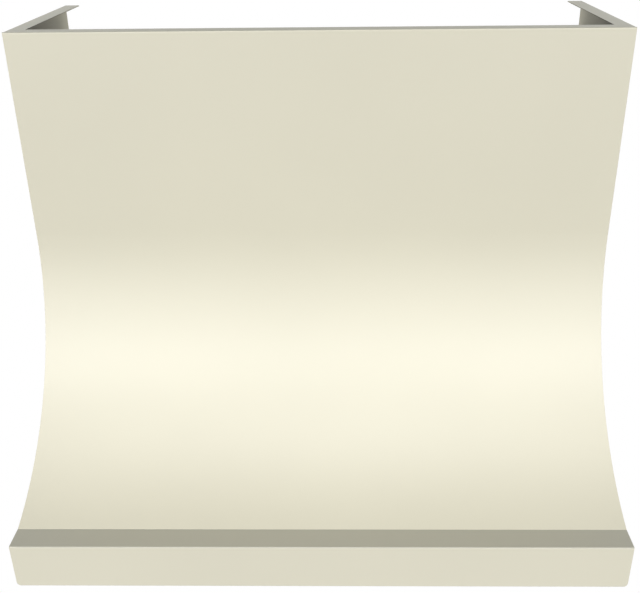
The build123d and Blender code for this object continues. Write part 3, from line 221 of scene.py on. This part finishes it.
def makeCreamPaint(coat):
    spec = creamPaint
    finish, tree, shader = newFinish(coat["name"])
    vector = placeOnObject(tree)
    low = tuple(v * (1 - spec["shift"]) for v in coat["tone"])
    high = tuple(v * (1 + spec["shift"]) for v in coat["tone"])
    tone = toneRamp(tree, grainNoise(tree, vector, spec["toneScale"]), low, high)
    mask, softNormal = edgeMask(tree, spec["edge"])
    worn = blendTone(tree, mask, tone, spec["edgeTone"])
    # a darker tone on the faces that lie flat and the folds beside them, painted shade
    flatShaded = blendTone(tree, flatShadeMask(tree, coat["foldFrom"]), worn, coat["flatShade"])
    # the inside faces are painted darker than the outside as painted shade of the hollow: the side panels
    # darkest toward the front corners, a painted shadow, and lighter toward the open back; the front panel's
    # inner face in a lighter painted shade
    inside, ofFront, depth = insideFaces(tree)
    insideShaded = insideShadeTone(tree, vector, ofFront, depth)
    tree.links.new(blendTone(tree, inside, flatShaded, insideShaded), shader.inputs["Base Color"])
    shader.inputs["Specular IOR Level"].default_value = spec["gloss"]
    satin = stretchRange(tree, grainNoise(tree, vector, spec["satin"], 3.0), *spec["roughness"])
    tree.links.new(blendValue(tree, inside, satin, shellInside["roughness"]), shader.inputs["Roughness"])
    peel = grainNoise(tree, vector, spec["peel"])
    surfaceBump(tree, shader, peel, spec["peelStrength"], spec["peelHeight"], softNormal)
    return finish


brushedSteel = {"dark": (0.385, 0.385, 0.38), "light": (0.475, 0.475, 0.465), "span": (0.25, 0.75),
                "roughness": (0.27, 0.36), "lines": 2400.0, "length": 3.0, "lineStrength": 0.12,
                "lineHeight": 0.00003, "smearDark": (0.39, 0.39, 0.385), "smearLight": (0.47, 0.47, 0.46),
                "smearScale": 7.0, "smearShare": 0.35, "edge": 0.0006}
filterLean = radians(10.15)
brushings = {  # axis that the lines follow, and how far it leans
    "stainless": ("brushed steel across", 0, 0.0),
    "stainlessDeep": ("brushed steel front to back", 1, 0.0),
    "stainlessFilter": ("brushed steel down the filters", 1, filterLean),
}


def makeBrushedSteel(name, along, lean):
    spec = brushedSteel
    finish, tree, shader = newFinish(name)
    scale = tuple(spec["length"] if axis == along else spec["lines"] for axis in range(3))
    lines = grainNoise(tree, placeOnObject(tree, scale, lean), 1.0, 3.0, 0.6)
    cloud = grainNoise(tree, placeOnObject(tree), spec["smearScale"], 3.0)
    tone = toneRamp(tree, lines, spec["dark"], spec["light"], spec["span"])
    smear = toneRamp(tree, cloud, spec["smearDark"], spec["smearLight"])
    smeared = addNode(tree, "ShaderNodeMix", {"Factor": spec["smearShare"]}, data_type="RGBA")
    tree.links.new(tone, smeared.inputs["A"])
    tree.links.new(smear, smeared.inputs["B"])
    tree.links.new(smeared.outputs["Result"], shader.inputs["Base Color"])
    shader.inputs["Metallic"].default_value = 1.0
    tree.links.new(stretchRange(tree, lines, *spec["roughness"]), shader.inputs["Roughness"])
    softNormal = edgeMask(tree, spec["edge"])[1]
    surfaceBump(tree, shader, lines, spec["lineStrength"], spec["lineHeight"], softNormal)
    return finish


zincSheet = {"dark": (0.31, 0.32, 0.33), "light": (0.40, 0.41, 0.42), "spangle": 170.0,
             "roughness": (0.40, 0.50), "edge": 0.0008, "edgeTone": (0.47, 0.48, 0.49),
             "grain": 320.0, "grainStrength": 0.10, "grainHeight": 0.00008}


def makeZincSheet():
    spec = zincSheet
    finish, tree, shader = newFinish("zinc spangle sheet")
    vector = placeOnObject(tree)
    flakes = addNode(tree, "ShaderNodeTexVoronoi", {"Scale": spec["spangle"], "Randomness": 1.0})
    tree.links.new(vector, flakes.inputs["Vector"])
    parts = addNode(tree, "ShaderNodeSeparateColor")
    tree.links.new(flakes.outputs["Color"], parts.inputs["Color"])
    tone = toneRamp(tree, parts.outputs["Red"], spec["dark"], spec["light"], (0, 1))
    mask, softNormal = edgeMask(tree, spec["edge"])
    tree.links.new(blendTone(tree, mask, tone, spec["edgeTone"]), shader.inputs["Base Color"])
    shader.inputs["Metallic"].default_value = 1.0
    rough = stretchRange(tree, parts.outputs["Green"], *spec["roughness"], (0, 1))
    tree.links.new(rough, shader.inputs["Roughness"])
    grain = grainNoise(tree, vector, spec["grain"], 3.0)
    surfaceBump(tree, shader, grain, spec["grainStrength"], spec["grainHeight"], softNormal)
    return finish


turnedBump = {"strength": 0.1, "height": 0.00004}
turnedMetals = {
    "bright_steel": {"name": "plated steel", "dark": (0.52, 0.52, 0.53), "light": (0.68, 0.68, 0.69),
                     "roughness": (0.18, 0.30), "scale": (40, 700, 700), "edge": 0.0005},
    "magnet": {"name": "nickel plate", "dark": (0.48, 0.48, 0.49), "light": (0.60, 0.60, 0.61),
               "roughness": (0.20, 0.32), "scale": (300, 300, 300), "edge": 0.0005},
    "lamp_alloy": {"name": "die cast alloy", "dark": (0.50, 0.50, 0.51), "light": (0.62, 0.62, 0.63),
                   "roughness": (0.42, 0.58), "scale": (500, 500, 500), "edge": 0.0005},
    "capacitor_can": {"name": "drawn aluminium can", "dark": (0.58, 0.58, 0.58), "light": (0.74, 0.74, 0.74),
                      "roughness": (0.26, 0.40), "scale": (900, 900, 14), "edge": 0.0006},
    "sintered_bronze": {"name": "sintered bronze", "dark": (0.30, 0.19, 0.08), "light": (0.46, 0.31, 0.14),
                        "roughness": (0.45, 0.62), "scale": (900, 900, 900), "edge": 0.0004},
}


def makeTurnedMetal(spec):
    finish, tree, shader = newFinish(spec["name"])
    grain = grainNoise(tree, placeOnObject(tree, spec["scale"]), 1.0, 3.0, 0.6)
    tone = toneRamp(tree, grain, spec["dark"], spec["light"])
    mask, softNormal = edgeMask(tree, spec["edge"])
    tree.links.new(blendTone(tree, mask, tone, spec["light"]), shader.inputs["Base Color"])
    shader.inputs["Metallic"].default_value = 1.0
    tree.links.new(stretchRange(tree, grain, *spec["roughness"]), shader.inputs["Roughness"])
    surfaceBump(tree, shader, grain, turnedBump["strength"], turnedBump["height"], softNormal)
    return finish


mouldingSet = {"toneScale": 25.0, "edge": 0.0007, "strength": 0.25}
mouldings = {
    "knob_black": {"name": "satin black knob", "dark": (0.012, 0.012, 0.013), "light": (0.022, 0.022, 0.023),
                   "roughness": (0.34, 0.46), "grain": 900.0, "height": 0.00006,
                   "edgeTone": (0.05, 0.05, 0.05)},
    "moulded_plastic": {"name": "dark moulding", "dark": (0.030, 0.030, 0.032),
                        "light": (0.045, 0.045, 0.047), "roughness": (0.42, 0.56), "grain": 700.0,
                        "height": 0.00008, "edgeTone": (0.08, 0.08, 0.08)},
    "motor_paint": {"name": "black enamel", "dark": (0.010, 0.010, 0.011), "light": (0.020, 0.020, 0.021),
                    "roughness": (0.26, 0.40), "grain": 400.0, "height": 0.00008,
                    "edgeTone": (0.12, 0.12, 0.12)},
    "black_rubber": {"name": "matt rubber", "dark": (0.010, 0.010, 0.010), "light": (0.018, 0.018, 0.018),
                     "roughness": (0.70, 0.85), "grain": 1100.0, "height": 0.00010,
                     "edgeTone": (0.03, 0.03, 0.03)},
    "lead_jacket": {"name": "lead jacket", "dark": (0.022, 0.022, 0.023), "light": (0.035, 0.035, 0.036),
                    "roughness": (0.45, 0.60), "grain": 800.0, "height": 0.00006,
                    "edgeTone": (0.06, 0.06, 0.06)},
    "whiteInlay": {"name": "white inlay", "dark": (0.74, 0.74, 0.72), "light": (0.80, 0.80, 0.78),
                   "roughness": (0.40, 0.52), "grain": 900.0, "height": 0.00004,
                   "edgeTone": (0.82, 0.82, 0.80)},
    "darkPrint": {"name": "dark print", "dark": (0.030, 0.030, 0.032), "light": (0.042, 0.042, 0.044),
                  "roughness": (0.50, 0.62), "grain": 1200.0, "height": 0.00003,
                  "edgeTone": (0.05, 0.05, 0.05)},
    "weldPrimer": {"name": "primed weld", "dark": linearTone(92, 90, 80), "light": linearTone(118, 115, 103),
                   "roughness": (0.66, 0.80), "grain": 700.0, "height": 0.00010,
                   "edgeTone": linearTone(126, 123, 110)},
}


def makeMoulding(spec):
    finish, tree, shader = newFinish(spec["name"])
    vector = placeOnObject(tree)
    cloud = grainNoise(tree, vector, mouldingSet["toneScale"], 3.0)
    tone = toneRamp(tree, cloud, spec["dark"], spec["light"])
    mask, softNormal = edgeMask(tree, mouldingSet["edge"])
    tree.links.new(blendTone(tree, mask, tone, spec["edgeTone"]), shader.inputs["Base Color"])
    fine = grainNoise(tree, vector, spec["grain"], 3.0, 0.6)
    tree.links.new(stretchRange(tree, fine, *spec["roughness"]), shader.inputs["Roughness"])
    surfaceBump(tree, shader, fine, mouldingSet["strength"], spec["height"], softNormal)
    return finish


frostedLens = {"dark": (0.86, 0.86, 0.83), "light": (0.92, 0.92, 0.90), "toneScale": 90.0, "clear": 0.35,
               "bend": 1.49, "frost": 1500.0, "roughness": (0.42, 0.60), "strength": 0.3, "height": 0.00008}


def makeFrostedLens():
    spec = frostedLens
    finish, tree, shader = newFinish("frosted lens")
    vector = placeOnObject(tree)
    tone = toneRamp(tree, grainNoise(tree, vector, spec["toneScale"], 3.0), spec["dark"], spec["light"])
    tree.links.new(tone, shader.inputs["Base Color"])
    shader.inputs["Transmission Weight"].default_value = spec["clear"]
    shader.inputs["IOR"].default_value = spec["bend"]
    fine = grainNoise(tree, vector, spec["frost"])
    tree.links.new(stretchRange(tree, fine, *spec["roughness"]), shader.inputs["Roughness"])
    surfaceBump(tree, shader, fine, spec["strength"], spec["height"])
    return finish


finishes = {"galvanised": makeZincSheet(), "frosted_lens": makeFrostedLens()}
finishes.update((kind, makeCreamPaint(coat)) for kind, coat in creamCoats.items())
finishes.update((kind, makeBrushedSteel(*brushing)) for kind, brushing in brushings.items())
finishes.update((kind, makeTurnedMetal(metal)) for kind, metal in turnedMetals.items())
finishes.update((kind, makeMoulding(moulding)) for kind, moulding in mouldings.items())

brushedDeep = {"left_end", "right_end", "control_plate"}
slotOf = {part["node"]: part["material_slot"] for part in frame["record"]["subparts"]}
for nodeName, part in nodes.items():
    kind = slotOf[nodeName]
    if nodeName == "front_apron":
        kind = "creamApronLit"
    if nodeName in brushedDeep:
        kind = "stainlessDeep"
    if nodeName.startswith(("filter_frame", "filter_baffles")):
        kind = "stainlessFilter"
    part.data.materials.clear()
    part.data.materials.append(finishes[kind])
print("finishes on", len(nodes), "nodes")


# small pieces the source leaves to this script

mergeDistance = 1e-6
smoothBelow = radians(38)
downward = (0, 0, -1)


def turnedMaster(profile, steps=14, closed=False):
    shape = bmesh.new()
    verts = [shape.verts.new((radius, 0, height)) for radius, height in profile]
    edges = [shape.edges.new(pair) for pair in zip(verts, verts[1:])]
    if closed:
        edges.append(shape.edges.new((verts[-1], verts[0])))
    bmesh.ops.spin(shape, geom=verts + edges, cent=(0, 0, 0), axis=(0, 0, 1), angle=2 * pi, steps=steps,
                   use_merge=True)
    return keptMaster(shape)


def capsuleMaster(length, width, height, rounding=0.0, sides=16):
    shape = bmesh.new()
    turn = Matrix.Rotation(pi / sides, 4, "Z")
    bmesh.ops.create_circle(shape, cap_ends=True, segments=sides, radius=width / 2, matrix=turn)
    reach = (length - width) / 2
    for vert in shape.verts:
        vert.co.y += reach if vert.co.y > 0 else -reach
    bmesh.ops.solidify(shape, geom=shape.faces[:], thickness=-height)
    if rounding:
        rim = [edge for edge in shape.edges if all(vert.co.z > height / 2 for vert in edge.verts)]
        bmesh.ops.bevel(shape, geom=rim, offset=rounding, segments=2, profile=0.5, affect="EDGES",
                        material=-1)
    return keptMaster(shape)


def keptMaster(shape):
    bmesh.ops.remove_doubles(shape, verts=shape.verts, dist=mergeDistance)
    bmesh.ops.recalc_face_normals(shape, faces=shape.faces)
    master = bpy.data.meshes.new("master")
    shape.to_mesh(master)
    shape.free()
    return master


def stampPiece(name, stamps, finish, body):
    shape = bmesh.new()
    for master, places in stamps:
        for place in places:
            first = len(shape.verts)
            shape.from_mesh(master)
            shape.verts.ensure_lookup_table()
            bmesh.ops.transform(shape, matrix=place, verts=shape.verts[first:])
        bpy.data.meshes.remove(master)
    for face in shape.faces:
        face.smooth = True
    for edge in shape.edges:
        edge.smooth = edge.calc_face_angle(0) < smoothBelow
    mesh = bpy.data.meshes.new(name)
    shape.to_mesh(mesh)
    shape.free()
    mesh.materials.append(finishes[finish])
    piece = bpy.data.objects.new(name, mesh)
    scene.collection.objects.link(piece)
    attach(piece, body)


def facing(place, direction, turn=0.0):
    return (Matrix.Translation(place) @ Vector(direction).to_track_quat("Z", "Y").to_matrix().to_4x4()
            @ Matrix.Rotation(turn, 4, "Z"))


def boxMiddle(node):
    low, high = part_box(node)
    return [(a + b) / 2 for a, b in zip(low, high)], low, high


# knob pointers, let into the slots of the knobs
knobPointer = {"reach": 0.55, "lift": 0.00075, "length": 0.0122, "width": 0.0017, "height": 0.0007,
               "rounding": 0.0002}
for knobName in ("fan_knob", "light_knob"):
    middle, low, high = boxMiddle(knobName)
    radius = (high[0] - low[0]) / 2
    spot = (middle[0], middle[1] - radius * knobPointer["reach"], low[2] + knobPointer["lift"])
    bar = capsuleMaster(*(knobPointer[k] for k in ("length", "width", "height", "rounding")))
    stampPiece(knobName.replace("knob", "pointer"), [(bar, [facing(spot, downward)])], "whiteInlay",
               knobName)

# printed scale round each knob: steps for the fan, a growing row for the light
knobScale = {"radius": 0.0225, "sweep": 270, "steps": 4, "dots": 10, "bar": (0.0048, 0.0011),
             "print": 0.00006, "dotSizes": (0.0005, 0.0013)}


def scalePlaces(node, count):
    middle = boxMiddle(node)[0]
    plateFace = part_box("control_plate")[0][2]
    reach = knobScale["radius"]
    places = []
    for step in range(count):
        turn = radians(knobScale["sweep"] * step / (count - 1))
        places.append(((middle[0] + reach * sin(turn), middle[1] - reach * cos(turn), plateFace), turn))
    return places


fanMarks = [facing(spot, downward, -turn) for spot, turn in scalePlaces("fan_knob", knobScale["steps"])]
scaleStamps = [(capsuleMaster(*knobScale["bar"], knobScale["print"]), fanMarks)]
smallDot, largeDot = knobScale["dotSizes"]
for step, (spot, turn) in enumerate(scalePlaces("light_knob", knobScale["dots"])):
    size = smallDot + (largeDot - smallDot) * step / (knobScale["dots"] - 1)
    dot = turnedMaster([(0, knobScale["print"]), (size, knobScale["print"]), (size, 0)])
    scaleStamps.append((dot, [facing(spot, downward)]))
stampPiece("knob_scales", scaleStamps, "darkPrint", "hood")

# rivets at the corners of the filter frames
filterRivet = {"pivot": (-0.125, 0.0079), "lift": 0.005, "front": 0.3139, "overhang": 0.014, "inset": 0.008,
               "profile": [(0, 0.0011), (0.0012, 0.00095), (0.0021, 0.0006), (0.0027, 0)]}
alongFilter = Vector((0, cos(filterLean), -sin(filterLean)))
acrossFilter = Vector((0, sin(filterLean), cos(filterLean)))
rivetInset = filterRivet["inset"]
for side in ("left", "centre", "right"):
    low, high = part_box("filter_frame_" + side)
    places = []
    for x in (low[0] + rivetInset, high[0] - rivetInset):
        for y in (rivetInset - filterRivet["front"], filterRivet["overhang"] - rivetInset):
            spot = Vector((x, *filterRivet["pivot"])) + alongFilter * y + acrossFilter * filterRivet["lift"]
            places.append(facing(spot, -acrossFilter))
    stampPiece("filter_rivets_" + side, [(turnedMaster(filterRivet["profile"]), places)], "bright_steel",
               "filter_" + side)

# ridged underside of the lamp lenses
lensRidge = {"count": 7, "first": 0.0025, "pitch": 0.0031, "crown": 0.0002, "foot": 0.00005,
             "height": 0.00082, "rise": 0.75, "steps": 48}


def lensProfile():
    spec = lensRidge
    points = [(0, spec["crown"])]
    for number in range(spec["count"]):
        start = spec["first"] + number * spec["pitch"]
        points += [(start, spec["foot"]), (start + spec["pitch"] * spec["rise"], spec["height"])]
    last = spec["first"] + spec["count"] * spec["pitch"]
    return points + [(last, spec["foot"]), (last, 0)]


lensMiddle, lensLow, lensHigh = boxMiddle("lamp_lenses")
lensRadius = (lensHigh[1] - lensLow[1]) / 2
lensPlaces = [facing((x, lensMiddle[1], lensLow[2]), downward)
              for x in (lensLow[0] + lensRadius, lensHigh[0] - lensRadius)]
lensMaster = turnedMaster(lensProfile(), lensRidge["steps"])
stampPiece("lens_ridges", [(lensMaster, lensPlaces)], "frosted_lens", "hood")

# pressed joints down the corners of the blower box, whose lid laps over its walls
clinchJoint = {"inset": 0.016, "count": 5, "bottom": 0.045, "top": 0.035, "lidLap": 0.0013, "steps": 12,
               "profile": [(0, 0.0004), (0.0014, 0.00045), (0.0020, 0.0009), (0.0027, 0.0009), (0.0034, 0)]}
boxLow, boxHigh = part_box("blower_box")
lidLow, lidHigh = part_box("box_lid")
wallLow = [low + clinchJoint["lidLap"] for low in lidLow]
wallHigh = [high - clinchJoint["lidLap"] for high in lidHigh]
clinchInset = clinchJoint["inset"]
clinchRise = boxHigh[2] - boxLow[2] - clinchJoint["bottom"] - clinchJoint["top"]
clinchPlaces = []
for step in range(clinchJoint["count"]):
    z = boxLow[2] + clinchJoint["bottom"] + clinchRise * step / (clinchJoint["count"] - 1)
    for x in (wallLow[0] + clinchInset, wallHigh[0] - clinchInset):
        clinchPlaces.append(facing((x, wallLow[1], z), (0, -1, 0)))
        clinchPlaces.append(facing((x, wallHigh[1], z), (0, 1, 0)))
    for y in (wallLow[1] + clinchInset, wallHigh[1] - clinchInset):
        clinchPlaces.append(facing((wallLow[0], y, z), (-1, 0, 0)))
        clinchPlaces.append(facing((wallHigh[0], y, z), (1, 0, 0)))
clinchMaster = turnedMaster(clinchJoint["profile"], clinchJoint["steps"])
stampPiece("box_clinch_joints", [(clinchMaster, clinchPlaces)], "galvanised", "hood")

# knock-outs on the junction box and a grommet at each end of the motor lead
knockOut = {"spread": 0.025, "steps": 28,
            "profile": [(0.0104, 0), (0.0106, 0.0004), (0.0114, 0.0004), (0.0116, 0)]}
leadGrommet = {"steps": 24, "profile": [(0.0033, 0), (0.0033, 0.0020), (0.0041, 0.0027), (0.0053, 0.0027),
                                        (0.0062, 0.0019), (0.0062, 0)]}
(middleX, middleY, middleZ), junctionLow, junctionHigh = boxMiddle("junction_box")
knockPlaces = [facing((middleX + side * knockOut["spread"], junctionHigh[1], middleZ), (0, 1, 0))
               for side in (-1, 1)]
knockPlaces.append(facing((junctionHigh[0], middleY, middleZ), (1, 0, 0)))
knockMaster = turnedMaster(knockOut["profile"], knockOut["steps"])
stampPiece("junction_knock_outs", [(knockMaster, knockPlaces)], "galvanised", "hood")
grommetPlaces = [facing((junctionLow[0], middleY, middleZ), (-1, 0, 0)),
                 facing((wallHigh[0], middleY, middleZ), (1, 0, 0))]
grommetMaster = turnedMaster(leadGrommet["profile"], leadGrommet["steps"], True)
stampPiece("lead_grommets", [(grommetMaster, grommetPlaces)], "black_rubber", "hood")

# stitch welds in the inside corners of the shell, down the flat and round the sweep
stitchWeld = {"x": 0.4550, "flatY": -0.3027, "flatHeights": (0.43, 0.52, 0.61, 0.70),
              "sweepMiddle": (-0.6925, 0.4064), "sweepRadius": 0.3898, "sweepTurns": (8, 24, 40, 56),
              "ripples": 9, "pitch": 0.0026, "size": 0.0021, "flatten": 0.9}


def weldMaster():
    spec = stitchWeld
    shape = bmesh.new()
    for number in range(spec["ripples"]):
        along = (number - (spec["ripples"] - 1) / 2) * spec["pitch"]
        place = Matrix.Translation((0, 0, along)) @ Matrix.Diagonal((1, 1, spec["flatten"], 1))
        bmesh.ops.create_icosphere(shape, subdivisions=2, radius=spec["size"], matrix=place)
    return keptMaster(shape)


weldPlaces = []
sweepY, sweepZ = stitchWeld["sweepMiddle"]
sweepReach = stitchWeld["sweepRadius"]
for side in (-1, 1):
    x = side * stitchWeld["x"]
    for z in stitchWeld["flatHeights"]:
        weldPlaces.append(facing((x, stitchWeld["flatY"], z), (0, 0, 1)))
    for degrees in stitchWeld["sweepTurns"]:
        turn = radians(degrees)
        spot = (x, sweepY + sweepReach * cos(turn), sweepZ - sweepReach * sin(turn))
        weldPlaces.append(facing(spot, (0, sin(turn), cos(turn))))
stampPiece("shell_stitch_welds", [(weldMaster(), weldPlaces)], "weldPrimer", "hood")
print("small pieces placed")


# floor, light and camera

floorSet = {"radius": 1.25, "segments": 96, "middle": (0, -0.32), "drop": 1.65, "tone": (0.80, 0.80, 0.79),
            "shade": 0.98, "grain": 9.0, "roughness": 0.9, "glow": 0.46}


def makeFloor():
    spec = floorSet
    mesh = bpy.data.meshes.new("studioFloor")
    shape = bmesh.new()
    bmesh.ops.create_circle(shape, cap_ends=True, segments=spec["segments"], radius=spec["radius"])
    bmesh.ops.translate(shape, verts=shape.verts, vec=(*spec["middle"], -spec["drop"]))
    shape.to_mesh(mesh)
    shape.free()
    floor = bpy.data.objects.new("studioFloor", mesh)
    scene.collection.objects.link(floor)
    finish, tree, shader = newFinish("pale floor")
    grain = grainNoise(tree, placeOnObject(tree), spec["grain"], 3.0)
    shaded = tuple(v * spec["shade"] for v in spec["tone"])
    tree.links.new(toneRamp(tree, grain, shaded, spec["tone"]), shader.inputs["Base Color"])
    shader.inputs["Roughness"].default_value = spec["roughness"]
    # pale to the camera, white at the rim, and the shadow stays
    path = addNode(tree, "ShaderNodeLightPath")
    coords = addNode(tree, "ShaderNodeTexCoord")
    centred = addNode(tree, "ShaderNodeMapping", {"Location": (0, -spec["middle"][1], spec["drop"])})
    reach = addNode(tree, "ShaderNodeVectorMath", operation="LENGTH")
    spread = addNode(tree, "ShaderNodeMapRange",
                     {"From Max": spec["radius"], "To Min": spec["glow"], "To Max": 1.0},
                     interpolation_type="SMOOTHSTEP")
    glow = addNode(tree, "ShaderNodeEmission", {"Color": (1, 1, 1, 1)})
    both = addNode(tree, "ShaderNodeAddShader")
    tree.links.new(coords.outputs["Object"], centred.inputs["Vector"])
    tree.links.new(centred.outputs["Vector"], reach.inputs[0])
    tree.links.new(reach.outputs["Value"], spread.inputs["Value"])
    seen = addMath(tree, "MULTIPLY", spread.outputs["Result"], path.outputs["Is Camera Ray"])
    tree.links.new(seen, glow.inputs["Strength"])
    output = next(node for node in tree.nodes if node.type == "OUTPUT_MATERIAL")
    tree.links.new(shader.outputs["BSDF"], both.inputs[0])
    tree.links.new(glow.outputs["Emission"], both.inputs[1])
    tree.links.new(both.outputs["Shader"], output.inputs["Surface"])
    mesh.materials.append(finish)


makeFloor()

lampDistance = 4
lightSet = {  # degrees above the floor, round from the front, and the width of the sun
    "lowLeft": {"strength": 0.46, "height": 6, "round": -20, "angle": 26},
    "lowRight": {"strength": 0.46, "height": 6, "round": 20, "angle": 26},
    "middleLeft": {"strength": 1.01, "height": 30, "round": -20, "angle": 26},
    "middleRight": {"strength": 1.01, "height": 30, "round": 20, "angle": 26},
    "highLeft": {"strength": 0.41, "height": 62, "round": -20, "angle": 26},
    "highRight": {"strength": 0.41, "height": 62, "round": 20, "angle": 26},
    "left": {"strength": 2.0, "height": -20, "round": -102, "angle": 30},
    "right": {"strength": 2.0, "height": -20, "round": 102, "angle": 30},
    "rearLeft": {"strength": 0.45, "height": -12, "round": -156, "angle": 40},
    "rearRight": {"strength": 0.45, "height": -12, "round": 156, "angle": 40},
}


def makeLight(name, spec):
    lamp = bpy.data.lights.new(name, "SUN")
    lamp.energy = spec["strength"]
    lamp.angle = radians(spec["angle"])
    holder = bpy.data.objects.new(name, lamp)
    up, turn = radians(spec["height"]), radians(spec["round"])
    source = Vector((sin(turn) * cos(up), -cos(turn) * cos(up), sin(up)))
    holder.location = source * lampDistance
    holder.rotation_mode = "QUATERNION"
    holder.rotation_quaternion = source.to_track_quat("Z", "Y")
    scene.collection.objects.link(holder)


for lampName, lampSpec in lightSet.items():
    makeLight(lampName + "Sun", lampSpec)

worldSet = {"fill": 0.0, "white": 1.0}  # light on the object, and what the camera and reflections see


def makeWorld():
    world = bpy.data.worlds.new("white studio")
    scene.world = world
    world.use_nodes = True
    tree = world.node_tree
    tree.nodes.clear()
    output = tree.nodes.new("ShaderNodeOutputWorld")
    path = tree.nodes.new("ShaderNodeLightPath")
    fill = addNode(tree, "ShaderNodeBackground", {"Color": (1, 1, 1, 1), "Strength": worldSet["fill"]})
    white = addNode(tree, "ShaderNodeBackground", {"Color": (1, 1, 1, 1), "Strength": worldSet["white"]})
    mix = addNode(tree, "ShaderNodeMixShader")
    seen = addMath(tree, "MAXIMUM", path.outputs["Is Camera Ray"], path.outputs["Is Glossy Ray"])
    seenThrough = addMath(tree, "MAXIMUM", seen, path.outputs["Is Transmission Ray"])
    tree.links.new(seenThrough, mix.inputs[0])
    tree.links.new(fill.outputs[0], mix.inputs[1])
    tree.links.new(white.outputs[0], mix.inputs[2])
    tree.links.new(mix.outputs[0], output.inputs["Surface"])


makeWorld()

cameraSet = {"place": (0.036675, -1.547289, 0.909487), "pitch": 25.408, "yaw": -1.0288, "roll": -0.6465,
             "focus": 836.378, "middle": (330.42, 284.03), "image": (640, 593), "sensor": 36, "near": 0.05}


def makeCamera():
    spec = cameraSet
    pitch, yaw, roll = (radians(spec[k]) for k in ("pitch", "yaw", "roll"))
    ahead = Vector((sin(yaw) * cos(pitch), cos(yaw) * cos(pitch), -sin(pitch)))
    across = Vector((cos(yaw), -sin(yaw), 0))
    upward = across.cross(ahead)
    right = across * cos(roll) + upward * sin(roll)
    up = upward * cos(roll) - across * sin(roll)
    width, height = spec["image"]
    lens = bpy.data.cameras.new("photoCamera")
    lens.sensor_fit = "HORIZONTAL"
    lens.sensor_width = spec["sensor"]
    lens.lens = spec["focus"] * spec["sensor"] / width
    lens.shift_x = (width / 2 - spec["middle"][0]) / width
    lens.shift_y = (spec["middle"][1] - height / 2) / width
    lens.clip_start = spec["near"]
    holder = bpy.data.objects.new("photoCamera", lens)
    turn = Matrix((right, up, -ahead)).transposed().to_4x4()
    holder.matrix_world = Matrix.Translation(spec["place"]) @ turn
    scene.collection.objects.link(holder)
    scene.camera = holder


makeCamera()
print("stage ready")
